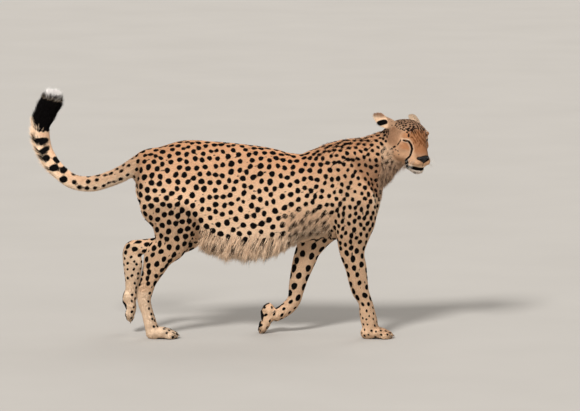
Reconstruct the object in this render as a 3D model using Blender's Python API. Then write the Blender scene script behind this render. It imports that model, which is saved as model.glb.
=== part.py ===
"""A cheetah in mid walk, life size, parted into the regions of its body.

Metres, +X towards the head, +Z up; the right side, -Y, is the one it shows. Flesh is modelled whole,
from lofts and rounded masses that a remesh unites, and is then parted by thin cuts. Eyes, ears and
nose pad are solids of their own. The finished animal stands with its bounding box centred on the origin.
"""
import math
from dataclasses import dataclass

import bmesh
import bpy
from mathutils import Matrix, Vector

# Driving dimensions: how finely flesh is modelled, and the gap that each cut leaves.
GAP = 0.0004
VOXEL = 0.0035
FLESH_TRIANGLES = 5000
RING_SIDES = 36
LOFT_STEPS = 6
FINE_SMOOTHING = 3
BROAD_SMOOTHING = 9
FOOT_REACH = 0.075
BLEND_REACH = 0.050
BLOCK_REACH = 0.16

# Stance: how far the feet stand from the middle, the height of a planted foot's joint, and how
# steeply the cut between a leg and the trunk rises outwards.
FORE_SPREAD = 0.072
HIND_SPREAD = 0.074
SOLE_DROP = 0.0365
LEG_SLOPE = 1.7
LEG_OUTER = 0.20
LEG_INNER = 0.003
BELOW_FLOOR = -0.10

# Head: its place and turn, then its features in its own frame.
HEAD_ORIGIN = Vector((0.689, -0.070, 0.800))
HEAD_YAW = math.radians(-60.0)
HEAD_PITCH = math.radians(14.0)
EYE_RADIUS = 0.0180
EYE_CENTRE = Vector((0.0160, 0.0372, 0.0055))
EYE_OUTWARD = Vector((0.72, 0.68, 0.08))
ORBIT_REACH = 0.0175
ORBIT_SIZE = (0.012, 0.0170, 0.0085)
NOSE_CENTRE = Vector((0.0910, 0.0, -0.0510))
NOSE_SIZE = Vector((0.0150, 0.0285, 0.0160))
EAR_WIDTH = 0.062
EAR_WALL = 0.0045
EAR_CUP = 0.016
EAR_ROWS = 6
EAR_COLUMNS = 3
# Name, root, tip, and the way the ear's convex back faces: both ears are laid out and back.
EARS = (
    ("ear_right", (-0.078, -0.052, 0.036), (-0.113, -0.120, 0.066), (0.7, -0.1, 0.7)),
    ("ear_left", (-0.066, 0.050, 0.030), (-0.138, 0.074, 0.048), (0.2, 0.5, 0.84)),
)
# Each toe's place across the foot and how far forward its tip lies.
TOES = ((-0.028, 0.062), (-0.0098, 0.075), (0.0098, 0.075), (0.028, 0.062))

# Colours and finishes: base colour, roughness.
FINISHES = {
    "coat": ((0.62, 0.42, 0.24), 0.85),
    "dark_coat": ((0.030, 0.024, 0.020), 0.85),
    "eye": ((0.26, 0.13, 0.04), 0.10),
    "nose": ((0.020, 0.017, 0.016), 0.45),
}

# Stations of a loft: centre, size above and below the path (for a leg: before and behind), half width.
TRUNK = (
    ((-0.418, 0.0, 0.620), 0.030, 0.045, 0.030),
    ((-0.402, 0.0, 0.620), 0.100, 0.090, 0.060),
    ((-0.365, 0.0, 0.620), 0.134, 0.130, 0.082),
    ((-0.290, 0.0, 0.610), 0.172, 0.175, 0.092),
    ((-0.215, 0.0, 0.600), 0.195, 0.195, 0.091),
    ((-0.128, 0.0, 0.580), 0.209, 0.212, 0.087),
    ((-0.030, 0.0, 0.565), 0.214, 0.246, 0.090),
    ((0.070, 0.0, 0.555), 0.212, 0.246, 0.099),
    ((0.150, 0.0, 0.550), 0.202, 0.229, 0.104),
    ((0.210, 0.0, 0.550), 0.188, 0.200, 0.105),
    ((0.265, 0.0, 0.550), 0.187, 0.175, 0.104),
    ((0.330, 0.0, 0.560), 0.200, 0.180, 0.102),
    ((0.395, 0.0, 0.570), 0.214, 0.186, 0.096),
    ((0.460, 0.0, 0.570), 0.190, 0.176, 0.086),
    ((0.525, 0.0, 0.560), 0.130, 0.145, 0.070),
    ((0.566, 0.0, 0.550), 0.070, 0.090, 0.045),
)
NECK = (
    ((0.400, 0.0, 0.640), 0.150, 0.140, 0.088),
    ((0.470, 0.0, 0.672), 0.138, 0.128, 0.080),
    ((0.535, 0.003, 0.706), 0.114, 0.112, 0.073),
    ((0.585, 0.006, 0.742), 0.094, 0.098, 0.069),
    ((0.625, 0.002, 0.768), 0.080, 0.090, 0.066),
    ((0.655, -0.020, 0.780), 0.060, 0.075, 0.055),
)
TAIL = (
    ((-0.300, 0.0, 0.715), 0.040, 0.050, 0.040),
    ((-0.365, 0.0, 0.708), 0.040, 0.048, 0.038),
    ((-0.410, 0.0, 0.688), 0.037, 0.041, 0.034),
    ((-0.464, 0.0, 0.655), 0.034, 0.038, 0.031),
    ((-0.532, 0.0, 0.626), 0.032, 0.037, 0.029),
    ((-0.600, 0.0, 0.609), 0.031, 0.039, 0.029),
    ((-0.664, 0.0, 0.617), 0.030, 0.039, 0.029),
    ((-0.712, 0.0, 0.645), 0.029, 0.041, 0.029),
    ((-0.755, 0.0, 0.686), 0.030, 0.044, 0.030),
    ((-0.786, 0.0, 0.738), 0.030, 0.046, 0.032),
    ((-0.802, 0.0, 0.788), 0.033, 0.049, 0.036),
    ((-0.800, 0.0, 0.838), 0.041, 0.048, 0.042),
    ((-0.782, 0.0, 0.886), 0.046, 0.047, 0.045),
    ((-0.758, 0.0, 0.934), 0.048, 0.047, 0.045),
    ((-0.741, 0.0, 0.970), 0.041, 0.041, 0.039),
    ((-0.731, 0.0, 0.990), 0.024, 0.024, 0.022),
)
# Each leg runs down from inside the trunk; widths along X are before and behind the path.
NEAR_FORELEG = (
    ((0.445, -0.048, 0.715), 0.050, 0.055, 0.026),
    ((0.468, -0.068, 0.600), 0.068, 0.075, 0.038),
    ((0.466, -0.074, 0.495), 0.082, 0.090, 0.042),
    ((0.452, -0.075, 0.412), 0.068, 0.072, 0.039),
    ((0.449, -0.073, 0.343), 0.050, 0.052, 0.034),
    ((0.464, -0.072, 0.285), 0.044, 0.045, 0.031),
    ((0.472, -0.072, 0.235), 0.040, 0.041, 0.029),
    ((0.482, -0.072, 0.190), 0.035, 0.037, 0.027),
    ((0.502, -0.072, 0.147), 0.028, 0.029, 0.027),
    ((0.510, -0.072, 0.106), 0.030, 0.034, 0.027),
    ((0.520, -0.072, 0.066), 0.030, 0.036, 0.030),
    ((0.526, -0.072, 0.040), 0.026, 0.030, 0.030),
)
FAR_FORELEG = (
    ((0.448, 0.048, 0.690), 0.050, 0.055, 0.026),
    ((0.420, 0.068, 0.560), 0.070, 0.075, 0.038),
    ((0.362, 0.074, 0.455), 0.070, 0.075, 0.042),
    ((0.310, 0.074, 0.388), 0.056, 0.060, 0.038),
    ((0.276, 0.073, 0.342), 0.051, 0.053, 0.034),
    ((0.256, 0.072, 0.286), 0.046, 0.048, 0.031),
    ((0.238, 0.072, 0.229), 0.039, 0.040, 0.029),
    ((0.226, 0.072, 0.176), 0.033, 0.034, 0.027),
    ((0.216, 0.072, 0.136), 0.030, 0.028, 0.027),
    ((0.192, 0.072, 0.104), 0.028, 0.027, 0.027),
    ((0.158, 0.072, 0.081), 0.027, 0.027, 0.029),
    ((0.132, 0.072, 0.066), 0.024, 0.026, 0.030),
)
NEAR_HINDLEG = (
    ((-0.315, -0.042, 0.690), 0.070, 0.078, 0.032),
    ((-0.305, -0.058, 0.616), 0.095, 0.106, 0.044),
    ((-0.282, -0.066, 0.540), 0.120, 0.118, 0.047),
    ((-0.266, -0.070, 0.476), 0.096, 0.100, 0.046),
    ((-0.266, -0.073, 0.424), 0.082, 0.080, 0.042),
    ((-0.278, -0.074, 0.371), 0.067, 0.068, 0.038),
    ((-0.308, -0.075, 0.325), 0.044, 0.078, 0.033),
    ((-0.331, -0.075, 0.279), 0.034, 0.064, 0.029),
    ((-0.356, -0.075, 0.236), 0.029, 0.045, 0.026),
    ((-0.374, -0.074, 0.197), 0.030, 0.036, 0.025),
    ((-0.382, -0.074, 0.152), 0.026, 0.028, 0.023),
    ((-0.369, -0.074, 0.104), 0.023, 0.025, 0.023),
    ((-0.358, -0.074, 0.066), 0.024, 0.027, 0.027),
    ((-0.352, -0.074, 0.042), 0.024, 0.028, 0.029),
)
FAR_HINDLEG = (
    ((-0.315, 0.042, 0.680), 0.070, 0.078, 0.032),
    ((-0.296, 0.058, 0.604), 0.095, 0.098, 0.044),
    ((-0.245, 0.066, 0.515), 0.105, 0.105, 0.047),
    ((-0.208, 0.070, 0.448), 0.075, 0.085, 0.046),
    ((-0.208, 0.073, 0.398), 0.062, 0.058, 0.042),
    ((-0.258, 0.074, 0.366), 0.050, 0.045, 0.037),
    ((-0.330, 0.075, 0.354), 0.038, 0.037, 0.032),
    ((-0.395, 0.075, 0.350), 0.031, 0.031, 0.028),
    ((-0.436, 0.074, 0.340), 0.036, 0.034, 0.026),
    ((-0.443, 0.074, 0.289), 0.052, 0.029, 0.024),
    ((-0.440, 0.074, 0.225), 0.040, 0.025, 0.023),
    ((-0.437, 0.074, 0.170), 0.024, 0.025, 0.025),
    ((-0.436, 0.074, 0.140), 0.024, 0.026, 0.028),
)
# The head runs along its own +X, eye level at its origin, left ear at +Y.
SKULL = (
    ((-0.124, 0.0, -0.015), 0.044, 0.060, 0.058),
    ((-0.094, 0.0, -0.010), 0.062, 0.085, 0.073),
    ((-0.055, 0.0, -0.010), 0.076, 0.092, 0.080),
    ((-0.018, 0.0, -0.012), 0.076, 0.092, 0.079),
    ((0.012, 0.0, -0.020), 0.064, 0.082, 0.062),
    ((0.036, 0.0, -0.034), 0.051, 0.066, 0.045),
    ((0.062, 0.0, -0.046), 0.040, 0.056, 0.037),
    ((0.086, 0.0, -0.052), 0.026, 0.046, 0.030),
    ((0.101, 0.0, -0.054), 0.014, 0.032, 0.020),
)

# Cuts between the nodes: side-view corners of blocks that take a node out of the flesh, and planes
# given by a point and a normal towards the part that they leave. Those of the head are in its frame.
TAIL_BLOCK = ((-0.461, 0.745), (-0.404, 0.643), (-0.50, 0.53), (-1.0, 0.53), (-1.0, 1.2), (-0.461, 1.2))
TAIL_CUTS = (
    ("tail_base", (-0.600, 0.0, 0.609), (-1.0, 0.0, 0.0)),
    ("tail_middle", (-0.800, 0.0, 0.826), (-0.05, 0.0, 1.0)),
)
NECK_CUT = (0.452, 0.0, 0.700)
NECK_CUT_NORMAL = (0.80, 0.0, 0.60)
HEAD_CUT = (0.612, 0.0, 0.757)
HEAD_CUT_NORMAL = (0.835, -0.31, 0.453)
JAW_BLOCK = ((0.010, -0.0805), (0.20, -0.0775), (0.20, -0.20), (0.010, -0.20))
MOUTH_BLOCK = ((0.020, -0.0802), (0.20, -0.0700), (0.20, -0.0830))


@dataclass(frozen=True)
class Leg:
    """One leg: its side (-1 right), its root's block, and the planes that part it further down."""

    name: str
    side: int
    low: tuple
    mid: tuple
    outer: tuple
    crotch: float
    cuts: tuple


LEGS = (
    Leg("foreleg_right", -1, (0.30, 0.72), (0.360, 0.62), (0.385, 0.60), 0.370, (
        ("upper", (0.450, 0.0, 0.365), (0.0, 0.0, -1.0)),
        ("forearm", (0.500, 0.0, 0.140), (0.0, 0.0, -1.0)),
    )),
    Leg("foreleg_left", 1, (-0.02, 0.45), (0.240, 0.55), (0.31, 0.58), 0.370, (
        ("upper", (0.280, 0.0, 0.345), (-0.2, 0.0, -1.0)),
        ("forearm", (0.216, 0.0, 0.130), (-0.3, 0.0, -1.0)),
    )),
    Leg("hindleg_right", -1, (-0.52, -0.15), (-0.46, -0.155), (-0.46, -0.17), 0.365, (
        ("thigh", (-0.270, 0.0, 0.385), (-0.5, 0.0, -0.86)),
        ("shin", (-0.374, 0.0, 0.190), (0.0, 0.0, -1.0)),
    )),
    Leg("hindleg_left", 1, (-0.62, -0.12), (-0.60, -0.125), (-0.46, -0.15), 0.365, (
        ("thigh", (-0.235, 0.0, 0.385), (-0.5, 0.0, -0.87)),
        ("shin", (-0.440, 0.0, 0.322), (-0.35, 0.0, -0.94)),
    )),
)


def clear_scene():
    """Remove whatever the scene holds, so that the model starts from nothing."""
    for item in list(bpy.data.objects):
        bpy.data.objects.remove(item, do_unlink=True)


def add_object(name, form):
    """Turn a bmesh into a linked object at the origin."""
    bmesh.ops.recalc_face_normals(form, faces=form.faces[:])
    mesh = bpy.data.meshes.new(name)
    form.to_mesh(mesh)
    form.free()
    item = bpy.data.objects.new(name, mesh)
    bpy.context.collection.objects.link(item)
    return item


def blend(values, t):
    """Catmull-Rom value between the middle two of four numbers or vectors."""
    before, start, end, after = values
    return 0.5 * (2 * start + (end - before) * t + (2 * before - 5 * start + 4 * end - after) * t * t
                  + (3 * start - before - 3 * end + after) * t * t * t)


def fine_stations(stations):
    """Smooth stations between the given ones: centre, above, below, width."""
    rows = [(Vector(centre), above, below, width) for centre, above, below, width in stations]
    fine = []
    for index in range(len(rows) - 1):
        four = [rows[max(0, min(len(rows) - 1, index + k))] for k in (-1, 0, 1, 2)]
        for step in range(LOFT_STEPS):
            t = step / LOFT_STEPS
            fine.append(tuple(blend([row[part] for row in four], t) for part in range(4)))
    fine.append(rows[-1])
    return fine


def loft(form, stations, place=Matrix.Identity(4)):
    """Add a closed tube of oval rings square to its path, closed by a face at each end."""
    fine = fine_stations(stations)
    across = Vector((0.0, 1.0, 0.0))
    rings = []
    for index, (centre, above, below, width) in enumerate(fine):
        along = (fine[min(index + 1, len(fine) - 1)][0] - fine[max(index - 1, 0)][0]).normalized()
        side = (across - along * across.dot(along)).normalized()
        up = along.cross(side)
        ring = []
        for turn in range(RING_SIDES):
            angle = 2 * math.pi * turn / RING_SIDES
            rise = math.sin(angle)
            reach = (above if rise > 0 else below) * rise
            ring.append(form.verts.new(place @ (centre + up * reach + side * (width * math.cos(angle)))))
        rings.append(ring)
    for first, second in zip(rings, rings[1:]):
        for turn in range(RING_SIDES):
            after = (turn + 1) % RING_SIDES
            form.faces.new((first[turn], first[after], second[after], second[turn]))
    form.faces.new(rings[0])
    form.faces.new(rings[-1])


def mass(form, centre, radii, place=Matrix.Identity(4), turn=Matrix.Identity(4), detail=3):
    """Add an ellipsoid of flesh with its radii along its own axes."""
    size = Matrix.Diagonal((*radii, 1.0))
    spot = place @ Matrix.Translation(centre) @ turn @ size
    bmesh.ops.create_icosphere(form, subdivisions=detail, radius=1.0, matrix=spot)


def head_place():
    """Where the head sits: eye level at HEAD_ORIGIN, turned to the right and a little down."""
    turn = Matrix.Rotation(HEAD_YAW, 4, "Z") @ Matrix.Rotation(HEAD_PITCH, 4, "Y")
    return Matrix.Translation(HEAD_ORIGIN) @ turn


def add_head(form):
    """Skull, cheeks, cheekbones, brows, bridge of the nose, whisker pads, lips and chin."""
    place = head_place()
    loft(form, SKULL, place)
    for side in (-1, 1):
        mass(form, (-0.038, 0.042 * side, -0.046), (0.064, 0.042, 0.058), place)
        mass(form, (-0.012, 0.050 * side, -0.026), (0.046, 0.026, 0.022), place)
        mass(form, (0.007, 0.042 * side, 0.026), (0.026, 0.027, 0.013), place)
        mass(form, (0.044, 0.014 * side, -0.030), (0.052, 0.017, 0.016), place)
        mass(form, (0.078, 0.020 * side, -0.064), (0.028, 0.022, 0.019), place)
        mass(form, (0.046, 0.031 * side, -0.070), (0.040, 0.022, 0.024), place)
    mass(form, (0.058, 0.0, -0.102), (0.030, 0.027, 0.018), place)
    mass(form, (0.026, 0.0, -0.096), (0.050, 0.038, 0.022), place)


def add_paw(form, place):
    """A foot: its joint at the origin, toes towards +X, sole about 40 mm below."""
    mass(form, (0.000, 0.0, -0.014), (0.038, 0.036, 0.028), place)
    mass(form, (0.026, 0.0, -0.012), (0.034, 0.037, 0.023), place)
    for lateral, tip in TOES:
        mass(form, (tip - 0.030, lateral * 0.92, -0.012), (0.028, 0.0140, 0.0185), place)
        mass(form, (tip - 0.002, lateral, -0.023), (0.022, 0.0140, 0.0175), place)


def bake(item):
    """Replace an object's mesh by what its modifiers make of it."""
    graph = bpy.context.evaluated_depsgraph_get()
    mesh = bpy.data.meshes.new_from_object(item.evaluated_get(graph))
    item.modifiers.clear()
    item.data = mesh
    return item


def flesh():
    """The whole body as one closed mesh: united, smoothed and thinned to its triangle budget."""
    form = bmesh.new()
    for stations in (TRUNK, NECK, TAIL, NEAR_FORELEG, FAR_FORELEG, NEAR_HINDLEG, FAR_HINDLEG):
        loft(form, stations)
    add_head(form)
    for place in paw_places().values():
        add_paw(form, place)
    body = add_object("flesh", form)
    remesh = body.modifiers.new("unite", "REMESH")
    remesh.mode = "VOXEL"
    remesh.voxel_size = VOXEL
    bake(body)
    above_feet = body.vertex_groups.new(name="above_feet")
    feet = [place.translation for place in paw_places().values()]
    for vertex in body.data.vertices:
        reach = min((vertex.co - foot).length for foot in feet)
        weight = min(1.0, max(0.0, (reach - FOOT_REACH) / BLEND_REACH))
        above_feet.add([vertex.index], weight, "REPLACE")
    for group, turns in (("", FINE_SMOOTHING), ("above_feet", BROAD_SMOOTHING)):
        smooth = body.modifiers.new("smooth", "SMOOTH")
        smooth.factor = 0.5
        smooth.iterations = turns
        smooth.vertex_group = group
    bake(body)
    body.data.calc_loop_triangles()
    decimate = body.modifiers.new("thin", "DECIMATE")
    decimate.decimate_type = "COLLAPSE"
    decimate.ratio = FLESH_TRIANGLES / len(body.data.loop_triangles)
    decimate.use_collapse_triangulate = True
    return bake(body)


def paw_places():
    """The frame of each foot: planted flat, or hanging from a lifted leg."""
    hang_fore = Matrix.Rotation(math.radians(100.0), 4, "Y")
    hang_hind = Matrix.Rotation(math.radians(80.0), 4, "Y")
    return {
        "foreleg_right": Matrix.Translation((0.518, -FORE_SPREAD, SOLE_DROP)),
        "hindleg_right": Matrix.Translation((-0.340, -HIND_SPREAD, SOLE_DROP)),
        "foreleg_left": Matrix.Translation((0.124, FORE_SPREAD, 0.084)) @ hang_fore,
        "hindleg_left": Matrix.Translation((-0.434, HIND_SPREAD, 0.142)) @ hang_hind,
    }


def hull_block(corners, place=Matrix.Identity(4)):
    """A convex block through the given side-view corners, right across the body."""
    form = bmesh.new()
    for x, z in corners:
        for y in (-BLOCK_REACH, BLOCK_REACH):
            form.verts.new(place @ Vector((x, y, z)))
    bmesh.ops.convex_hull(form, input=form.verts[:])
    return form


def leg_block(leg):
    """A convex block that takes a leg off the trunk along a plane rising outwards from the crotch."""
    form = bmesh.new()
    inner = LEG_INNER * leg.side
    outer = LEG_OUTER * leg.side
    rise = leg.crotch + LEG_SLOPE * (LEG_OUTER - LEG_INNER)
    levels = (
        (leg.low, inner, BELOW_FLOOR),
        (leg.low, outer, BELOW_FLOOR),
        (leg.mid, inner, leg.crotch),
        (leg.mid, outer, leg.crotch),
        (leg.outer, outer, rise),
    )
    for span, y, z in levels:
        for x in span:
            form.verts.new((x, y, z))
    bmesh.ops.convex_hull(form, input=form.verts[:])
    return form


def boolean(item, tool, operation):
    """Cut an object by a tool, or keep what lies inside it."""
    cut = item.modifiers.new("cut", "BOOLEAN")
    cut.operation = operation
    cut.object = tool
    cut.solver = "EXACT"
    return bake(item)


def grown(item, distance):
    """A copy of an object with every vertex moved out along its normal."""
    copy = bpy.data.objects.new(item.name + "_grown", item.data.copy())
    bpy.context.collection.objects.link(copy)
    normals = [normal.vector.copy() for normal in copy.data.vertex_normals]
    for vertex, normal in zip(copy.data.vertices, normals):
        vertex.co = vertex.co + normal * distance
    return copy


def take_out(body, block_form, name):
    """Part a node from the body with a block, leaving a gap between the two."""
    block = add_object("block", block_form)
    node = bpy.data.objects.new(name, body.data.copy())
    bpy.context.collection.objects.link(node)
    boolean(node, block, "INTERSECT")
    wide = grown(block, GAP * 1.6)
    boolean(body, wide, "DIFFERENCE")
    bpy.data.objects.remove(block, do_unlink=True)
    bpy.data.objects.remove(wide, do_unlink=True)
    return node


def trim(item, point, normal):
    """Cut away what lies beyond a plane and close the cut with a flat face."""
    form = bmesh.new()
    form.from_mesh(item.data)
    everything = form.verts[:] + form.edges[:] + form.faces[:]
    made = bmesh.ops.bisect_plane(
        form, geom=everything, plane_co=point, plane_no=normal, dist=1e-7, clear_outer=True)
    rim = [part for part in made["geom_cut"] if isinstance(part, bmesh.types.BMEdge)]
    bmesh.ops.edgenet_fill(form, edges=rim)
    bmesh.ops.recalc_face_normals(form, faces=form.faces[:])
    form.to_mesh(item.data)
    form.free()
    return item


def slice_off(item, name, point, normal):
    """Part an object at a plane: the near side becomes a named node, the far side stays."""
    normal = Vector(normal).normalized()
    point = Vector(point)
    node = bpy.data.objects.new(name, item.data.copy())
    bpy.context.collection.objects.link(node)
    trim(node, point - normal * GAP / 2, normal)
    trim(item, point + normal * GAP / 2, -normal)
    return node


def eyeball(side):
    """One eye, set in its orbit."""
    form = bmesh.new()
    centre = head_place() @ Vector((EYE_CENTRE.x, EYE_CENTRE.y * side, EYE_CENTRE.z))
    bmesh.ops.create_icosphere(form, subdivisions=2, radius=EYE_RADIUS, matrix=Matrix.Translation(centre))
    return form


def orbit(side):
    """The opening between the lids: a narrow slit in front of the eye."""
    outward = Vector((EYE_OUTWARD.x, EYE_OUTWARD.y * side, EYE_OUTWARD.z)).normalized()
    centre = Vector((EYE_CENTRE.x, EYE_CENTRE.y * side, EYE_CENTRE.z)) + outward * ORBIT_REACH
    turn = outward.to_track_quat("X", "Z").to_matrix().to_4x4()
    form = bmesh.new()
    mass(form, centre, ORBIT_SIZE, head_place(), turn, detail=2)
    return form


def nose_pad():
    """The nose pad: broad above, narrowing to the groove of the upper lip."""
    form = bmesh.new()
    bmesh.ops.create_icosphere(form, subdivisions=2, radius=1.0)
    place = head_place() @ Matrix.Translation(NOSE_CENTRE)
    for vertex in form.verts:
        pinch = 1.0 - 0.62 * max(0.0, 0.35 - vertex.co.z) / 1.35
        spot = vertex.co * NOSE_SIZE
        vertex.co = place @ Vector((spot.x, spot.y * pinch, spot.z))
    return form


def ear(root, tip, back):
    """A cupped ear from root to tip, its convex back turned towards the given side."""
    form = bmesh.new()
    root, tip = Vector(root), Vector(tip)
    axis = tip - root
    across = axis.cross(Vector(back)).normalized()
    outward = across.cross(axis).normalized()
    place = head_place()
    layers = []
    for wall in (0.0, EAR_WALL):
        rows = []
        for row in range(EAR_ROWS + 1):
            t = 0.975 * math.sin(0.5 * math.pi * row / EAR_ROWS)
            half = 0.5 * EAR_WIDTH * (0.72 + 0.28 * math.sin(math.pi * t)) * math.sqrt(max(0.0, 1 - t ** 4.5))
            verts = []
            for column in range(-EAR_COLUMNS, EAR_COLUMNS + 1):
                s = column / EAR_COLUMNS
                depth = EAR_CUP * (1 - 0.45 * t) * (1 - s * s) * min(1.0, half / (0.3 * EAR_WIDTH))
                spot = root + axis * t + across * (half * s) + outward * (depth - wall * (1 - 0.4 * s * s))
                verts.append(form.verts.new(place @ spot))
            rows.append(verts)
        layers.append(rows)
    outer, inner = layers
    width = 2 * EAR_COLUMNS
    for row in range(EAR_ROWS):
        for column in range(width):
            for rows in (outer, inner):
                form.faces.new((rows[row][column], rows[row][column + 1],
                                rows[row + 1][column + 1], rows[row + 1][column]))
        for column in (0, width):
            form.faces.new((outer[row][column], outer[row + 1][column],
                            inner[row + 1][column], inner[row][column]))
    for column in range(width):
        for row in (0, EAR_ROWS):
            form.faces.new((outer[row][column], outer[row][column + 1],
                            inner[row][column + 1], inner[row][column]))
    bmesh.ops.remove_doubles(form, verts=form.verts[:], dist=1e-5)
    return form


def finish(item, kind):
    """Give a node its own material and smooth shading."""
    colour, roughness = FINISHES[kind]
    material = bpy.data.materials.new(item.name)
    material.use_nodes = True
    shader = material.node_tree.nodes["Principled BSDF"]
    shader.inputs["Base Color"].default_value = (*colour, 1.0)
    shader.inputs["Roughness"].default_value = roughness
    item.data.materials.clear()
    item.data.materials.append(material)
    item.data.shade_smooth()


def part_legs(body):
    """Take each leg off the trunk and part it at its joints."""
    nodes = []
    for leg in LEGS:
        limb = take_out(body, leg_block(leg), leg.name)
        for stage, point, normal in leg.cuts:
            nodes.append(slice_off(limb, leg.name + "_" + stage, point, normal))
        limb.name = leg.name + "_paw"
        nodes.append(limb)
    return nodes


def part_tail(body):
    """Take the tail off the rump and part it into three lengths."""
    tail = take_out(body, hull_block(TAIL_BLOCK), "tail")
    nodes = [slice_off(tail, name, point, normal) for name, point, normal in TAIL_CUTS]
    tail.name = "tail_tuft"
    return nodes + [tail]


def part_head(body):
    """Part the head, and fit its eyes, nose pad, jaw and ears."""
    place = head_place()
    rest = slice_off(body, "body", HEAD_CUT, HEAD_CUT_NORMAL)
    head = body
    head.name = "head"
    fitted = []
    for side, name in ((-1, "right"), (1, "left")):
        fitted.append((add_object("eye_" + name, eyeball(side)), "eye"))
    fitted.append((add_object("nose", nose_pad()), "nose"))
    sockets = [grown(item, GAP) for item, _ in fitted]
    sockets += [add_object("orbit", orbit(side)) for side in (-1, 1)]
    for socket in sockets:
        boolean(head, socket, "DIFFERENCE")
        bpy.data.objects.remove(socket, do_unlink=True)
    mouth = add_object("mouth", hull_block(MOUTH_BLOCK, place))
    boolean(head, mouth, "DIFFERENCE")
    bpy.data.objects.remove(mouth, do_unlink=True)
    jaw = take_out(head, hull_block(JAW_BLOCK, place), "jaw")
    solid_head = grown(head, GAP)
    for name, root, tip, back in EARS:
        shell = add_object(name, ear(root, tip, back))
        boolean(shell, solid_head, "DIFFERENCE")
        fitted.append((shell, "coat"))
    bpy.data.objects.remove(solid_head, do_unlink=True)
    for item, kind in fitted:
        finish(item, kind)
    return rest, [head, jaw]


def settle():
    """Centre the bounding box on the origin, feet at z = 0."""
    solids = [item for item in bpy.data.objects if item.type == "MESH"]
    points = [vertex.co for item in solids for vertex in item.data.vertices]
    low = Vector([min(point[axis] for point in points) for axis in range(3)])
    high = Vector([max(point[axis] for point in points) for axis in range(3)])
    shift = Vector((-(low.x + high.x) / 2, -(low.y + high.y) / 2, -low.z))
    for item in solids:
        item.data.transform(Matrix.Translation(shift))
    return shift


def main():
    """Model the animal and part it into its nodes."""
    clear_scene()
    body = flesh()
    trim(body, Vector((0.0, 0.0, 0.0)), Vector((0.0, 0.0, -1.0)))
    body, coat_nodes = part_head(body)
    coat_nodes += part_tail(body) + part_legs(body)
    neck = slice_off(body, "trunk", NECK_CUT, NECK_CUT_NORMAL)
    body.name = "neck"
    coat_nodes += [neck, body]
    for node in coat_nodes:
        finish(node, "dark_coat" if node.name == "tail_tuft" else "coat")
    settle()


main()
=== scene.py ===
"""The looks of a life-size cheetah in mid walk: skin, markings, coat, face, claws and studio."""

import logging
import math
from dataclasses import dataclass, field
from enum import IntEnum

import bmesh
import bpy
import numpy as np
from mathutils import Matrix, Vector
from mathutils.kdtree import KDTree


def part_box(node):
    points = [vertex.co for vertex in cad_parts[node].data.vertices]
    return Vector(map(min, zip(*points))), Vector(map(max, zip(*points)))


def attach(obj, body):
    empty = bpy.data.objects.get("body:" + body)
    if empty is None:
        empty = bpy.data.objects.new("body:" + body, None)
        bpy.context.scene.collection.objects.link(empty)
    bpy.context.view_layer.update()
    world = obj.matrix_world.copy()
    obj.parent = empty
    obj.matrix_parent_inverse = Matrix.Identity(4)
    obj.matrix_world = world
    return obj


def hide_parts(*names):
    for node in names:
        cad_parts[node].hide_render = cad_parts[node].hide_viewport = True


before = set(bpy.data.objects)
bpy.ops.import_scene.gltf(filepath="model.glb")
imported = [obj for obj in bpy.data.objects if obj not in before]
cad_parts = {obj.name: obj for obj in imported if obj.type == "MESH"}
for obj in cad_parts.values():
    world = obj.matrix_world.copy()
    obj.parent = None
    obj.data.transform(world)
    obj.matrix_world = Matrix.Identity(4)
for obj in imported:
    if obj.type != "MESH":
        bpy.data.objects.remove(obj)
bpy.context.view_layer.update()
LOG = logging.getLogger("cheetah")

Array = np.ndarray
Colour = tuple[float, float, float, float]
Vec = tuple[float, float, float]
Item, Mesh, Node = bpy.types.Object, bpy.types.Mesh, bpy.types.Node
Material = bpy.types.Material
Form, Layer = bmesh.types.BMesh, bmesh.types.BMLayerItem

BODY = "root"
SEED = 4127

# Vertices nearer than this are one, and no piece reaches lower than its clearance above the floor.
MERGE = 1e-5
FLOOR_CLEARANCE = 0.0003
# One round of smoothing that takes facets out and keeps the size.
ROUND = (0.60, -0.62)

# The head's frame: +X forward, +Y to its left, eye level at its origin, as the solids have it.
HEAD_YAW = math.radians(-60.0)
HEAD_PITCH = math.radians(14.0)
EYE_FORWARD = 0.016
EYE_RISE = 0.0055
EYE_OUTWARD = Vector((0.72, 0.68, 0.08)).normalized()
EAR_ROOT = (-0.07, 0.051, 0.032)
WHISKER_ROWS = 4
WHISKERS_A_ROW = 4
NOSE_TAPER = 0.62

NO_FLESH = ("eye_left", "eye_right", "nose")
TAIL_NODES = ("tail_base", "tail_middle", "tail_tuft")


class Side(IntEnum):
    """A side of the body, as the sign of its Y."""

    RIGHT = -1
    LEFT = 1

    @property
    def word(self) -> str:
        """The side's word in the nodes' names."""
        return self.name.lower()


def srgb(red: int, green: int, blue: int) -> Colour:
    """Turn a display colour, 0 to 255 a channel, into linear light."""
    parts = [channel / 255.0 for channel in (red, green, blue)]
    linear = [part / 12.92 if part <= 0.04045 else ((part + 0.055) / 1.055) ** 2.4 for part in parts]
    return (linear[0], linear[1], linear[2], 1.0)


def rise(values: Array, low: float, high: float) -> Array:
    """Smooth step from 0 at low to 1 at high, which may lie below low."""
    part = np.clip((values - low) / (high - low), 0.0, 1.0)
    return part * part * (3.0 - 2.0 * part)


def unit(vectors: Array) -> Array:
    """Scale each row to length one."""
    return vectors / np.maximum(np.linalg.norm(vectors, axis=-1, keepdims=True), 1e-9)


def lengths(rows: Array) -> Array:
    """The length of each row."""
    return np.linalg.norm(rows, axis=1)


def folded(rows: Array) -> Array:
    """Rows with their Y turned positive, so that one mark serves both sides."""
    return rows * np.where(rows < 0.0, (1.0, -1.0, 1.0), 1.0)


# ---- node trees


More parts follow.
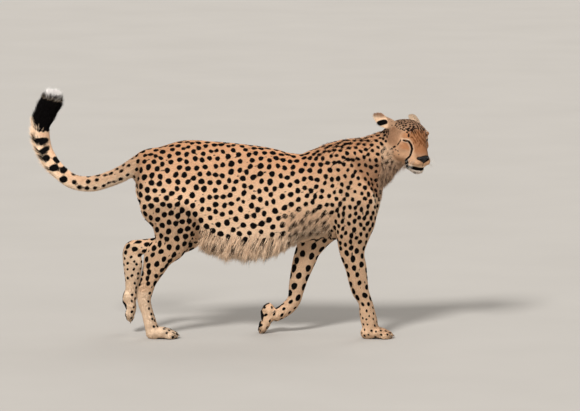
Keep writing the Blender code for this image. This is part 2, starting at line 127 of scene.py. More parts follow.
class Signal:
    """A socket of a node tree that takes part in ordinary sums, each of which adds a Math node."""

    def __init__(self, tree: "Tree", socket: bpy.types.NodeSocket) -> None:
        """Wrap one output socket of a tree."""
        self.tree = tree
        self.socket = socket

    def _sum(self, operation: str, first: object, second: object) -> "Signal":
        """Add one Math node and return what it gives."""
        node = self.tree.add("ShaderNodeMath", {"operation": operation}, {0: first, 1: second})
        return Signal(self.tree, node.outputs[0])

    def __add__(self, other: "Signal | float") -> "Signal":
        """This plus other."""
        return self._sum("ADD", self, other)

    def __radd__(self, other: float) -> "Signal":
        """Other plus this."""
        return self._sum("ADD", other, self)

    def __sub__(self, other: "Signal | float") -> "Signal":
        """This less other."""
        return self._sum("SUBTRACT", self, other)

    def __rsub__(self, other: float) -> "Signal":
        """Other less this."""
        return self._sum("SUBTRACT", other, self)

    def __mul__(self, other: "Signal | float") -> "Signal":
        """This times other."""
        return self._sum("MULTIPLY", self, other)

    def __rmul__(self, other: float) -> "Signal":
        """Other times this."""
        return self._sum("MULTIPLY", other, self)


class Tree:
    """A node tree under construction, for a material or for geometry."""

    def __init__(self, nodes: bpy.types.Nodes, links: bpy.types.NodeLinks) -> None:
        """Keep the tree's nodes and links."""
        self.nodes = nodes
        self.links = links

    def add(self, kind: str, settings: dict | None = None, inputs: dict | None = None) -> Node:
        """Add a node.

        Args:
            kind: The node's type.
            settings: Properties of the node, set before its sockets.
            inputs: Values, sockets or signals by socket name or number.

        Returns:
            The new node.
        """
        node = self.nodes.new(kind)
        for name, value in (settings or {}).items():
            setattr(node, name, value)
        for key, value in (inputs or {}).items():
            source = value.socket if isinstance(value, Signal) else value
            if isinstance(source, bpy.types.NodeSocket):
                self.links.new(source, node.inputs[key])
            else:
                node.inputs[key].default_value = source
        return node

    def signal(self, kind: str, settings: dict | None = None, inputs: dict | None = None,
               output: str | int = 0) -> Signal:
        """Add a node and return one of its outputs."""
        return Signal(self, self.add(kind, settings, inputs).outputs[output])

    def attribute(self, name: str) -> Signal:
        """A number kept on the surface under a name, read by a material."""
        return self.signal("ShaderNodeAttribute", {"attribute_name": name}, output="Fac")

    def noise(self, scale: float, detail: float = 2.0) -> Signal:
        """Soft noise on Object coordinates, features about 1 / scale metres across."""
        return self.signal("ShaderNodeTexNoise", inputs={
            "Vector": self.signal("ShaderNodeTexCoord", output="Object"), "Scale": scale, "Detail": detail,
            "Roughness": 0.55})

    def ramp(self, value: Signal, low: float, high: float, start: float = 0.0, end: float = 1.0) -> Signal:
        """Smooth step of a signal, from start at low to end at high."""
        return self.signal("ShaderNodeMapRange", {"interpolation_type": "SMOOTHSTEP"}, {
            "Value": value, "From Min": low, "From Max": high, "To Min": start, "To Max": end})

    def mix(self, first: object, second: object, factor: object, kind: str = "MIX") -> Signal:
        """Mix two colours."""
        return self.signal("ShaderNodeMix", {"data_type": "RGBA", "blend_type": kind, "clamp_factor": True}, {
            0: factor, 6: first, 7: second}, output=2)

    def bump(self, shader: Node, height: Signal, strength: float, distance: float) -> None:
        """Let a height in metres times distance show on a shader's surface."""
        inputs = {"Strength": strength, "Distance": distance, "Height": height}
        node = self.add("ShaderNodeBump", None, inputs)
        self.links.new(node.outputs[0], shader.inputs["Normal"])


def new_material(name: str, constants: dict[str, object]) -> tuple[Material, Tree, Node]:
    """Start a material.

    Args:
        name: The material's name.
        constants: Values set on sockets of its Principled BSDF.

    Returns:
        The material, its tree and its Principled BSDF.
    """
    material = bpy.data.materials.new(name)
    material.use_nodes = True
    tree = Tree(material.node_tree.nodes, material.node_tree.links)
    shader = next(node for node in tree.nodes if node.type == "BSDF_PRINCIPLED")
    for socket, value in constants.items():
        shader.inputs[socket].default_value = value
    return material, tree, shader


# ---- finishes


@dataclass(frozen=True)
class CoatFinish:
    """Hair, and the skin between it: one set of colours driven by what the surface carries."""

    ground: Colour = srgb(230, 193, 158)
    warm: Colour = srgb(200, 136, 88)
    cream: Colour = srgb(242, 214, 184)
    snow: Colour = srgb(246, 240, 235)
    # Dark brown: the hair's own dusky brown, and painted shade on the temples, the face's front and the
    # collar.
    dusk: Colour = srgb(112, 66, 36)
    black: Colour = srgb(9, 6, 6)
    tip: Colour = srgb(70, 46, 34)
    roughness: float = 0.68
    ragged: float = 0.0011

    def material(self, on_hair: bool) -> Material:
        """Make the material.

        Args:
            on_hair: True for tufts, which know how far along them a point lies; False for the skin.

        Returns:
            The material.
        """
        name = "spotted_hair" if on_hair else "spotted_skin"
        material, tree, shader = new_material(name, {
            "Roughness": self.roughness, "Specular IOR Level": 0.07})
        broad = tree.noise(9.0, 3.0)
        fine = tree.noise(420.0, 3.0)
        base = tree.mix(self.ground, self.warm, tree.attribute("warm") + (broad - 0.5) * 0.5)
        base = tree.mix(base, self.cream, tree.attribute("pale") + (broad - 0.5) * 0.3)
        base = tree.mix(base, self.snow, tree.attribute("snow"))
        # This field is partly the hair's own brown and partly painted shade.
        base = tree.mix(base, self.dusk, tree.attribute("dusk") + (fine - 0.5) * 0.12)
        edge = tree.attribute("spot") + (fine - 0.5) * (2.0 * self.ragged)
        dark = tree.ramp(edge, self.ragged, -self.ragged)
        if on_hair:
            along = tree.attribute("along")
            tone = tree.attribute("tone")
            base = tree.mix(base, self.tip, tree.attribute("tip") * tree.ramp(along, 0.35, 0.9))
            # Tone varies at random from tuft to tuft; the ramp along each tuft is painted shade, darkest at
            # its root.
            light = 0.74 + tone * 0.30 + tree.ramp(along, 0.0, 0.7) * 0.18
        else:
            light = 0.80 + fine * 0.28
        base = tree.mix(base, self.black, dark)
        shade = tree.signal("ShaderNodeCombineXYZ", inputs={0: light, 1: light, 2: light})
        colour = tree.mix(base, shade, 1.0, "MULTIPLY")
        tree.links.new(colour.socket, shader.inputs["Base Color"])
        if not on_hair:
            grain = tree.noise(700.0, 4.0) * 0.6 + tree.noise(160.0, 2.0) * 0.4
            tree.bump(shader, grain, 0.5, 0.0015)
        return material


@dataclass(frozen=True)
class NoseFinish:
    """Black, finely pebbled, slightly moist nose leather."""

    dark: Colour = srgb(11, 9, 9)
    light: Colour = srgb(38, 31, 30)

    def material(self) -> Material:
        """Make the material."""
        material, tree, shader = new_material("nose_leather", {"Specular IOR Level": 0.36})
        place = tree.signal("ShaderNodeTexCoord", output="Object")
        pebbles = tree.signal("ShaderNodeTexVoronoi", None, {"Vector": place, "Scale": 900.0}, "Distance")
        blotch = tree.noise(140.0, 3.0)
        colour = tree.mix(self.dark, self.light, tree.ramp(blotch, 0.45, 0.8) * 0.6)
        tree.links.new(colour.socket, shader.inputs["Base Color"])
        rough = 0.34 + pebbles * 0.3
        tree.links.new(rough.socket, shader.inputs["Roughness"])
        tree.bump(shader, 1.0 - pebbles, 0.6, 0.0006)
        return material


@dataclass(frozen=True)
class EyeFinish:
    """Amber iris, darkened with painted shade, round a round black pupil, dark at its edge, under a wet clear
    surface.
    """

    pupil: Colour = srgb(6, 5, 5)
    # Both iris colours are darkened with painted shade from the brow.
    amber: Colour = srgb(126, 72, 22)
    rust: Colour = srgb(112, 56, 18)
    rim: Colour = srgb(24, 14, 9)
    white: Colour = srgb(96, 78, 62)
    pupil_edge: float = 0.20
    iris_edge: float = 0.62

    def material(self) -> Material:
        """Make the material, which reads how far a point lies from the pupil's middle, in radians."""
        material, tree, shader = new_material("eye", {
            "Roughness": 0.08, "Coat Weight": 1.0, "Coat Roughness": 0.02, "Specular IOR Level": 0.6})
        ring = tree.attribute("ring") + (tree.noise(500.0, 2.0) - 0.5) * 0.03
        streaks = tree.noise(1100.0, 4.0)
        colour = tree.mix(self.amber, self.rust, tree.ramp(ring, 0.32, 0.58) * 0.7 + streaks * 0.4 - 0.2)
        colour = tree.mix(colour, self.rim, tree.ramp(ring, self.iris_edge - 0.08, self.iris_edge))
        colour = tree.mix(colour, self.white, tree.ramp(ring, self.iris_edge + 0.06, self.iris_edge + 0.3))
        colour = tree.mix(self.pupil, colour, tree.ramp(ring, self.pupil_edge - 0.02, self.pupil_edge + 0.02))
        tree.links.new(colour.socket, shader.inputs["Base Color"])
        return material


@dataclass(frozen=True)
class HornFinish:
    """Claws: dark grey horn, paler towards the worn tip, streaked lengthwise."""

    root: Colour = srgb(66, 52, 44)
    tip: Colour = srgb(150, 128, 104)

    def material(self) -> Material:
        """Make the material."""
        material, tree, shader = new_material("claw_horn", {"Roughness": 0.38})
        worn = tree.attribute("along") * 0.8 + (tree.noise(700.0) - 0.5) * 0.5
        colour = tree.mix(self.root, self.tip, worn)
        tree.links.new(colour.socket, shader.inputs["Base Color"])
        tree.bump(shader, tree.noise(1500.0, 3.0), 0.3, 0.0004)
        return material


@dataclass(frozen=True)
class WhiskerFinish:
    """Whiskers: stiff, almost white."""

    colour: Colour = srgb(236, 228, 216)
    root: Colour = srgb(150, 130, 112)

    def material(self) -> Material:
        """Make the material."""
        material, tree, shader = new_material("whisker", {"Roughness": 0.4})
        colour = tree.mix(self.root, self.colour, tree.ramp(tree.attribute("along"), 0.0, 0.3))
        tree.links.new(colour.socket, shader.inputs["Base Color"])
        return material


# ---- meshes


def new_object(name: str, mesh: Mesh, material: Material | None = None) -> Item:
    """Link a mesh to the scene as an object at the origin.

    Args:
        name: The object's name.
        mesh: Its mesh.
        material: What it is dressed in.

    Returns:
        The object.
    """
    item = bpy.data.objects.new(name, mesh)
    bpy.context.scene.collection.objects.link(item)
    if material is not None:
        mesh.materials.clear()
        mesh.materials.append(material)
    return item


def finished(form: Form, name: str, material: Material) -> Item:
    """Turn a form into a smooth, dressed object.

    Args:
        form: The form, which is let go.
        name: The object's name.
        material: What it is dressed in.

    Returns:
        The object.
    """
    mesh = bpy.data.meshes.new(name)
    form.to_mesh(mesh)
    form.free()
    mesh.shade_smooth()
    return new_object(name, mesh, material)


def fit(piece: Item, slot: str = "", *nodes: str) -> None:
    """Let a finished piece ride on the body, and report it.

    Args:
        piece: The piece.
        slot: Its material slot, if it has one; not used.
        nodes: The nodes that it stands in for.
    """
    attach(piece, BODY)
    if nodes:
        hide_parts(*nodes)
    LOG.info("%s: %d faces", piece.name, len(piece.data.polygons))


def baked(item: Item) -> Mesh:
    """Take what an object's modifiers make of it as a plain mesh, and remove the modifiers.

    Args:
        item: The object.

    Returns:
        Its new mesh.
    """
    graph = bpy.context.evaluated_depsgraph_get()
    mesh = bpy.data.meshes.new_from_object(item.evaluated_get(graph))
    item.modifiers.clear()
    old = item.data
    item.data = mesh
    bpy.data.meshes.remove(old)
    return mesh


def rows_of(items: object, name: str, width: int, kind: type = np.float32) -> Array:
    """Read one property of many items at once."""
    flat = np.empty(len(items) * width, dtype=kind)
    items.foreach_get(name, flat)
    return flat.reshape(-1, width)


def points_of(mesh: Mesh) -> Array:
    """A mesh's vertices as rows."""
    return rows_of(mesh.vertices, "co", 3).astype(np.float64)


def set_points(mesh: Mesh, points: Array) -> None:
    """Move a mesh's vertices to the given rows."""
    mesh.vertices.foreach_set("co", points.astype(np.float32).ravel())
    mesh.update()


def normals_of(mesh: Mesh) -> Array:
    """A mesh's vertex normals as rows."""
    return rows_of(mesh.vertex_normals, "vector", 3).astype(np.float64)


def edges_of(mesh: Mesh) -> Array:
    """A mesh's edges as pairs of vertex numbers."""
    return rows_of(mesh.edges, "vertices", 2, np.int32)


def corners(node: str) -> tuple[Array, Array]:
    """The low and the high corner of a node's box."""
    low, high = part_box(node)
    return np.array(low), np.array(high)


def search(points: Array) -> KDTree:
    """Make a tree that finds which of some points lie nearest.

    Args:
        points: The points as rows.

    Returns:
        The tree, which gives each point its row's number.
    """
    tree = KDTree(len(points))
    for number, point in enumerate(points):
        tree.insert(point, number)
    tree.balance()
    return tree


def neighbour_mean(values: Array, edges: Array) -> Array:
    """Mean of each vertex's neighbours, column by column.

    Args:
        values: A row or a number for each vertex.
        edges: The mesh's edges.

    Returns:
        The means, shaped as the values are.
    """
    count = len(values)
    first, second = edges[:, 0], edges[:, 1]
    ends = np.concatenate((first, second))
    others = np.concatenate((second, first))
    share = np.maximum(np.bincount(ends, minlength=count), 1)
    table = values.reshape(count, -1)
    sums = [np.bincount(ends, weights=table[others, k], minlength=count) for k in range(table.shape[1])]
    return (np.stack(sums, axis=1) / share[:, None]).reshape(values.shape)


def without_facets(points: Array, edges: Array, share: Array | float = 1.0) -> Array:
    """Smooth once without shrinking: an averaging step is followed by a slightly stronger inverse one."""
    for step in ROUND:
        points = points + (neighbour_mean(points, edges) - points) * step * share
    return points


def spread(values: Array, edges: Array, rounds: int) -> Array:
    """Let values flow into their neighbours."""
    for _ in range(rounds):
        values = 0.5 * values + 0.5 * neighbour_mean(values, edges)
    return values


def set_field(mesh: Mesh, name: str, values: Array) -> None:
    """Keep a number or a vector for each vertex."""
    kind, part = ("FLOAT", "value") if values.ndim == 1 else ("FLOAT_VECTOR", "vector")
    layer = mesh.attributes.get(name) or mesh.attributes.new(name, kind, "POINT")
    layer.data.foreach_set(part, values.astype(np.float32).ravel())


def remeshed(item: Item, voxel: float) -> Mesh:
    """Unite all that an object holds into one even surface.

    Args:
        item: The object.
        voxel: The size of the new surface's faces.

    Returns:
        Its new mesh.
    """
    modifier = item.modifiers.new("unite", "REMESH")
    modifier.mode = "VOXEL"
    modifier.voxel_size = voxel
    return baked(item)


@dataclass
class HeadFrame:
    """The head's own axes, found from where the eyes lie."""

    place: Matrix = field(init=False)
    eyes: dict[Side, Vector] = field(init=False)
    eye_radius: float = field(init=False)

    def __post_init__(self) -> None:
        """Place the frame under the middle of the eyes."""
        turn = Matrix.Rotation(HEAD_YAW, 4, "Z") @ Matrix.Rotation(HEAD_PITCH, 4, "Y")
        centres = {}
        for side in Side:
            low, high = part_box(f"eye_{side.word}")
            centres[side] = (Vector(low) + Vector(high)) / 2
            self.eye_radius = (high[2] - low[2]) / 2
        middle = (centres[Side.RIGHT] + centres[Side.LEFT]) / 2
        origin = middle - turn.to_3x3() @ Vector((EYE_FORWARD, 0.0, EYE_RISE))
        self.place = Matrix.Translation(origin) @ turn
        self.eyes = {side: self.place.inverted() @ centre for side, centre in centres.items()}

    @property
    def turn(self) -> Array:
        """The frame's axes, as the columns of a matrix."""
        return np.array(self.place.to_3x3())

    def local(self, points: Array) -> Array:
        """World rows in the head's frame."""
        return (points - np.array(self.place.translation)) @ self.turn

    def world(self, points: Array) -> Array:
        """Rows of the head's frame in the world."""
        return points @ self.turn.T + np.array(self.place.translation)

    def ear_root(self, side: Side) -> Array:
        """The middle of an ear's root in the world."""
        return self.world(np.array([(EAR_ROOT[0], EAR_ROOT[1] * side, EAR_ROOT[2])]))[0]


@dataclass(frozen=True)
class Foot:
    """A foot's frame: its joint measured from a corner of its node's box, and how far its toes hang."""

    leg: str
    corner: tuple[int, int]
    offset: tuple[float, float]
    hang: float

    @property
    def node(self) -> str:
        """The node that the foot is."""
        return f"{self.leg}_paw"

    def place(self) -> Matrix:
        """Find the frame of the foot: toes towards its +X, sole towards its -Z.

        Returns:
            The frame as a matrix.
        """
        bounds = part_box(self.node)
        x = bounds[self.corner[0]][0] + self.offset[0]
        y = (bounds[0][1] + bounds[1][1]) / 2
        z = bounds[self.corner[1]][2] + self.offset[1]
        return Matrix.Translation((x, y, z)) @ Matrix.Rotation(self.hang, 4, "Y")

    def local(self, points: Array) -> Array:
        """World rows in the foot's frame."""
        place = self.place()
        return (points - np.array(place.translation)) @ np.array(place.to_3x3())


FEET = (
    Foot("foreleg_right", (1, 0), (-0.0945, 0.0365), 0.0),
    Foot("hindleg_right", (1, 0), (-0.0945, 0.0365), 0.0),
    Foot("foreleg_left", (0, 0), (0.0525, 0.084), math.radians(100.0)),
    Foot("hindleg_left", (1, 0), (-0.0215, 0.097), math.radians(80.0)),
)
# Each toe's place across the foot and how far forward its tip lies.
TOES = ((-0.028, 0.062), (-0.0098, 0.075), (0.0098, 0.075), (0.028, 0.062))


# ---- how the coat grows


@dataclass(frozen=True)
class Pelt:
    """The coat of one node, in metres: depth over the skin, hair's length, its spots' radius and spacing."""

    depth: float
    hair: float
    spot: float
    gap: float


PELTS = {
    "head": Pelt(0.0016, 0.005, 0.0046, 0.0124),
    "jaw": Pelt(0.0012, 0.006, 0.002, 0.02),
    "ear": Pelt(0.0006, 0.0075, 0.0036, 0.0122),
    "neck": Pelt(0.005, 0.0068, 0.0094, 0.0245),
    "trunk": Pelt(0.0042, 0.0082, 0.0124, 0.0345),
    "tail_base": Pelt(0.006, 0.012, 0.0094, 0.029),
    "tail_middle": Pelt(0.008, 0.014, 0.0134, 0.041),
    "tail_tuft": Pelt(0.015, 0.03, 0.01, 0.03),
    "foreleg_upper": Pelt(0.004, 0.0074, 0.009, 0.0258),
    "foreleg_forearm": Pelt(0.0028, 0.0064, 0.0104, 0.0325),
    "foreleg_paw": Pelt(0.001, 0.0055, 0.005, 0.021),
    "hindleg_thigh": Pelt(0.0042, 0.008, 0.0124, 0.0335),
    "hindleg_shin": Pelt(0.0028, 0.0064, 0.0104, 0.0315),
    "hindleg_paw": Pelt(0.001, 0.0055, 0.0062, 0.024),
}


def pelt_of(node: str) -> Pelt:
    """The coat of a node; left and right legs share theirs."""
    return PELTS.get(node) or PELTS[node.replace("_left", "").replace("_right", "")]


@dataclass(frozen=True)
class Lie:
    """A line that the hair of some nodes follows, through places given as parts of nodes' boxes."""

    nodes: tuple[str, ...]
    course: tuple[tuple[str, Vec], ...]

    def points(self) -> Array:
        """The line's points in the world."""
        ends = [(corners(node), np.array(part)) for node, part in self.course]
        return np.array([low + (high - low) * part for (low, high), part in ends])


def leg_lie(leg: str, parts: tuple[str, str, str], across: tuple[Vec, Vec, Vec, Vec]) -> Lie:
    """Lay the line down a leg, from the top of its upper node to its toes.

    Args:
        leg: The leg's name.
        parts: Its three nodes' words.
        across: Places in the boxes of the three nodes, two of them in the last.

    Returns:
        The line.
    """
    names = tuple(f"{leg}_{part}" for part in parts)
    owners = (names[0], names[1], names[2], names[2])
    return Lie(names, tuple(zip(owners, across)))


FORE = ("upper", "forearm", "paw")
HIND = ("thigh", "shin", "paw")
LIES = (
    Lie(("neck", "trunk"), (
        ("neck", (0.95, 0.5, 0.95)), ("neck", (0.3, 0.5, 0.55)), ("trunk", (0.75, 0.5, 0.55)),
        ("trunk", (0.0, 0.5, 0.62)))),
    Lie(TAIL_NODES, (
        ("tail_base", (1.0, 0.5, 0.85)), ("tail_base", (0.5, 0.5, 0.45)), ("tail_middle", (1.0, 0.5, 0.12)),
        ("tail_middle", (0.57, 0.5, 0.16)), ("tail_middle", (0.19, 0.5, 0.43)),
        ("tail_middle", (0.0, 0.5, 0.84)),
        ("tail_tuft", (0.30, 0.5, 0.35)), ("tail_tuft", (0.75, 0.5, 0.95)))),
    leg_lie("foreleg_right", FORE, ((0.5, 0.5, 1.0), (0.4, 0.5, 0.9), (0.1, 0.5, 0.9), (1.0, 0.5, 0.0))),
    leg_lie("foreleg_left", FORE, ((0.7, 0.5, 1.0), (0.6, 0.5, 0.9), (0.7, 0.5, 0.9), (0.1, 0.5, 0.0))),
    leg_lie("hindleg_right", HIND, ((0.4, 0.5, 1.0), (0.75, 0.5, 0.9), (0.05, 0.5, 0.9), (1.0, 0.5, 0.0))),
    leg_lie("hindleg_left", HIND, ((0.5, 0.5, 1.0), (0.9, 0.5, 0.6), (0.3, 0.5, 0.95), (0.4, 0.5, 0.0))),
)


# ---- the skin


@dataclass
class Skin:
    """One closed skin over the whole body, with everything that coat and markings need kept on it.

    The solids' flesh is united and freed of its facets, refined where the face needs it, given lids and lips,
    and sunk by the depth of the coat.
    """

    head: HeadFrame
    voxel: float = 0.0069
    magnified: float = 0.15
    swell: float = 0.0004
    ear_swell: float = 0.0011
    palate: Vec = (0.044, 0.0, -0.079)
    palate_size: Vec = (0.036, 0.024, 0.012)
    body_rounds: int = 26
    head_rounds: int = 18
    fine_rounds: int = 6
    face_rounds: int = 14
    fine_reach: float = 0.14
    soft_rounds: int = 12
    belly_columns: int = 40
    sharp: tuple[tuple[Vec, float], ...] = (
        ((0.028, 0.05, 0.007), 0.015), ((0.094, 0.0, -0.052), 0.03), ((0.07, 0.02, -0.086), 0.024),
        ((0.04, 0.04, -0.086), 0.014))
    item: Item = field(init=False)
    points: Array = field(init=False)
    normals: Array = field(init=False)
    edges: Array = field(init=False)
    nodes: list[str] = field(init=False)
    label: Array = field(init=False)
    face: Array = field(init=False)
    flow: Array = field(init=False)
    fields: dict[str, Array] = field(default_factory=dict)

    def build(self) -> None:
        """Make the skin's surface and survey it."""
        self._unite()
        self._take_facets_out()
        self._refine_face()
        self._survey()
        self._sculpt_head()
        self._sculpt_feet()
        self._sink()

    # -- surface

    def _unite(self) -> None:
        """Unite copies of the flesh nodes, and of eyes and nose, which the face is shaped over."""
        form = bmesh.new()
        for node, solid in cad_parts.items():
            part = bmesh.new()
            part.from_mesh(solid.data)
            bmesh.ops.remove_doubles(part, verts=part.verts[:], dist=MERGE)
            part.normal_update()
            growth = self.ear_swell if node.startswith("ear") else self.swell
            if node.startswith("eye"):
                growth = 0.0
            for vertex in part.verts:
                vertex.co += vertex.normal * growth
            bmesh.ops.subdivide_edges(part, edges=part.edges[:], cuts=1)
            mesh = bpy.data.meshes.new("part")
            part.to_mesh(mesh)
            part.free()
            form.from_mesh(mesh)
            bpy.data.meshes.remove(mesh)
        # The mouth is filled behind the lips, so that only its rim is open.
        palate = self.head.place @ Matrix.Translation(self.palate) @ Matrix.Diagonal((*self.palate_size, 1.0))
        bmesh.ops.create_icosphere(form, subdivisions=3, radius=1.0, matrix=palate)
        mesh = bpy.data.meshes.new("skin")
        form.to_mesh(mesh)
        form.free()
        self.item = new_object("skin", mesh)
        set_points(mesh, self._magnify(points_of(mesh), False))
        remeshed(self.item, self.voxel)
        set_points(self.item.data, self._magnify(points_of(self.item.data), True))
        form = bmesh.new()
        form.from_mesh(self.item.data)
        self._keep_largest(form)
        form.to_mesh(self.item.data)
        form.free()

    def _magnify(self, points: Array, back: bool) -> Array:
        """Stretch space to twice its size round the head, so that the union is finer there, or undo it.

        Args:
            points: Vertices in the world.
            back: True to undo it.

        Returns:
            The vertices moved.
        """
        centre = np.array(self.head.place.translation)
        arm = points - centre
        reach = np.maximum(lengths(arm), 1e-9)
        if back:
            wanted = np.where(reach < 2.0 * self.magnified, 0.5 * reach, reach - self.magnified)
        else:
            wanted = np.where(reach < self.magnified, 2.0 * reach, reach + self.magnified)
        return centre + arm * (wanted / reach)[:, None]

    @staticmethod
    def _keep_largest(form: Form) -> None:
        """Drop closed pockets that the union left inside.

        Args:
            form: The united form.
        """
        seen: set[int] = set()
        islands = []
        form.verts.ensure_lookup_table()
        for start in form.verts:
            if start.index in seen:
                continue
            seen.add(start.index)
            island = [start]
            for vertex in island:
                for edge in vertex.link_edges:
                    other = edge.other_vert(vertex)
                    if other.index not in seen:
                        seen.add(other.index)
                        island.append(other)
            islands.append(island)
        islands.sort(key=len, reverse=True)
        for island in islands[1:]:
            bmesh.ops.delete(form, geom=island, context="VERTS")

    def _fine_share(self, points: Array) -> Array:
        """Find the head and the feet, where small forms matter.

        Args:
            points: Vertices in the world.

        Returns:
            1 there, falling to 0 on the body.
        """
        reach = lengths(self.head.local(points) - np.array((-0.01, 0.0, -0.02)))
        share = rise(reach, self.fine_reach + 0.03, self.fine_reach)
        for foot in FEET:
            centre = np.array(foot.place() @ Vector((0.025, 0.0, -0.01)))
            share = np.maximum(share, rise(lengths(points - centre), 0.105, 0.075))
        return share

    def _take_facets_out(self) -> None:
        """Smooth the body most, the skull less, and the face with plain averaging but for its sharp forms."""
        mesh = self.item.data
        points = points_of(mesh)
        edges = edges_of(mesh)
        broad = 1.0 - self._fine_share(points)[:, None]
        local = self.head.local(points)
        skull = rise(lengths(local - np.array((0.0, 0.0, -0.02))), 0.15, 0.12)
        skull *= rise(np.abs(local[:, 1]) - 0.35 * local[:, 0], 0.104, 0.092)
        skull = np.maximum(broad, skull[:, None])
        for turn in range(self.body_rounds):
            share = 1.0 if turn < self.fine_rounds else skull if turn < self.head_rounds else broad
            points = without_facets(points, edges, share)
        local = self.head.local(points)
        soft = rise(lengths(local - np.array((0.02, 0.0, -0.01))), 0.115, 0.095)
        mirrored = folded(local)
        for centre, reach in self.sharp:
            soft *= rise(lengths(mirrored - np.array(centre)), reach * 0.8, reach * 1.2)
        for _ in range(self.face_rounds):
            points = points + (neighbour_mean(points, edges) - points) * 0.5 * soft[:, None]
        set_points(mesh, points)

    def _refine_face(self) -> None:
        """Divide the faces of the face once, and those round the eyes, nose and mouth twice."""
        form = bmesh.new()
        form.from_mesh(self.item.data)
        for near_to in (self._on_face, self._by_eyes_or_mouth):
            form.verts.ensure_lookup_table()
            near = near_to(self.head.local(np.array([vertex.co[:] for vertex in form.verts])))
            edges = [edge for edge in form.edges if near[edge.verts[0].index] and near[edge.verts[1].index]]
            bmesh.ops.subdivide_edges(form, edges=edges, cuts=1, use_grid_fill=True)
            bmesh.ops.triangulate(form, faces=[face for face in form.faces if len(face.verts) > 4])
            form.verts.index_update()
        form.to_mesh(self.item.data)
        form.free()

    @staticmethod
    def _on_face(local: Array) -> Array:
        """True for rows of the head's frame on the face."""
        return lengths(local - np.array((0.052, 0.0, -0.036))) < 0.074

    def _by_eyes_or_mouth(self, local: Array) -> Array:
        """True for rows of the head's frame round the eyes, or round nose and mouth."""
        eye = np.array(self.head.eyes[Side.LEFT]) + np.array(EYE_OUTWARD) * self.head.eye_radius
        mirrored = folded(local)
        by_mouth = lengths(local - np.array((0.088, 0.0, -0.07))) < 0.03
        return by_mouth | (lengths(mirrored - eye) < 0.021)

    def _survey(self) -> None:
        """Read points, edges and normals, and find the node that each vertex belongs to."""
        mesh = self.item.data
        self.edges = edges_of(mesh)
        self.refresh(points_of(mesh))
        self.nodes = [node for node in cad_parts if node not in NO_FLESH]
        samples, owners = [], []
        for number, node in enumerate(self.nodes):
            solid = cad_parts[node].data
            ends = points_of(solid)
            for polygon in solid.polygons:
                three = ends[list(polygon.vertices)]
                first, second, third = three[:3]
                samples.extend((first, three.mean(axis=0), (first + second) / 2, (second + third) / 2))
                owners.extend((number,) * 4)
        tree = search(np.array(samples))
        self.label = np.array(owners)[[tree.find(point)[1] for point in self.points]]

    def on(self, *names: str) -> Array:
        """True for vertices of nodes whose name starts with one of the given words."""
        wanted = [number for number, node in enumerate(self.nodes) if node.startswith(names)]
        return np.isin(self.label, wanted)

    def within(self, node: str) -> Array:
        """Each vertex's place as parts of a node's box."""
        low, high = corners(node)
        return (self.points - low) / (high - low)

    def refresh(self, points: Array) -> None:
        """Move the skin's vertices and read its normals again.

        Args:
            points: Where they go, in the world.
        """
        set_points(self.item.data, points)
        self.points = points
        self.normals = normals_of(self.item.data)
        self.face = self.head.local(points)

    # -- forms of the head

    def eye_frame(self, side: Side) -> tuple[Array, Array, Array, Array]:
        """Find the axes of an eye's slit, in the head's frame.

        Args:
            side: The eye's side.

        Returns:
            The eye's middle, the way it looks, the way to its inner corner, and up.
        """
        middle = np.array(self.head.eyes[side])
        outward = np.array((EYE_OUTWARD.x, EYE_OUTWARD.y * side, EYE_OUTWARD.z))
        inner = unit(np.array((0.66, -0.75 * side, -0.06)))
        inner = unit(inner - outward * inner.dot(outward))
        return middle, outward, inner, np.cross(outward, inner) * side

    def _sculpt_head(self) -> None:
        """Shape lids, brow folds, lip line, philtrum and whisker pads, and sink the skin under the nose pad.
        """
        local = self._with_lids(self.face.copy())
        x, y, z = local.T
        from_middle = np.abs(y)
        front = rise(x, 0.07, 0.088)
        # The near ear's root is folded down into the crown.
        root = self.on("ear_right") * rise(-y, 0.09, 0.066)
        z -= 0.45 * root * np.maximum(z - 0.046, 0.0)
        # Groove from the nose down to the lip, and the lip line itself.
        groove = np.exp(-(y / 0.002) ** 2) * front * rise(z, -0.056, -0.062) * rise(z, -0.084, -0.078)
        x -= 0.0024 * groove
        line = LIPS.height(x)
        lip = np.exp(-((z - line) / 0.0022) ** 2) * rise(x, 0.016, 0.03)
        inward = (0.75 * front, np.sign(y) * rise(from_middle, 0.0, 0.01), np.zeros(len(local)))
        local -= 0.003 * lip[:, None] * np.stack(inward, axis=1)
        # Whisker rows dent the pads a little between their bristles.
        for row in range(WHISKER_ROWS):
            band = np.exp(-((z + 0.056 + 0.0062 * row) / 0.0014) ** 2)
            pad = rise(x, 0.045, 0.06) * rise(from_middle, 0.008, 0.014) * rise(x, 0.100, 0.09)
            y -= 0.0006 * np.sign(y) * band * pad
        # The skin passes under the nose pad.
        low, high = corners("nose")
        nose = self.head.local(((low + high) / 2)[None])[0]
        arm = local - (nose - np.array((0.004, 0.0, 0.0)))
        narrow = 1.0 - NOSE_TAPER * rise(arm[:, 2] / 0.0165, 0.15, -0.9)
        sizes = np.stack((np.full(len(local), 0.02), 0.0285 * narrow, np.full(len(local), 0.0165)), axis=1)
        reach = lengths(arm / sizes)
        x -= 0.011 * rise(reach, 1.04, 0.84)
        self.fields["nose"] = reach
        mouth = rise(np.abs(z - line), 0.0024, 0.0012) * rise(x, 0.02, 0.03)
        self.fields["bare"] = np.maximum(rise(reach, 1.16, 1.04), mouth)
        self.refresh(np.where((lengths(self.face) < 0.16)[:, None], self.head.world(local), self.points))

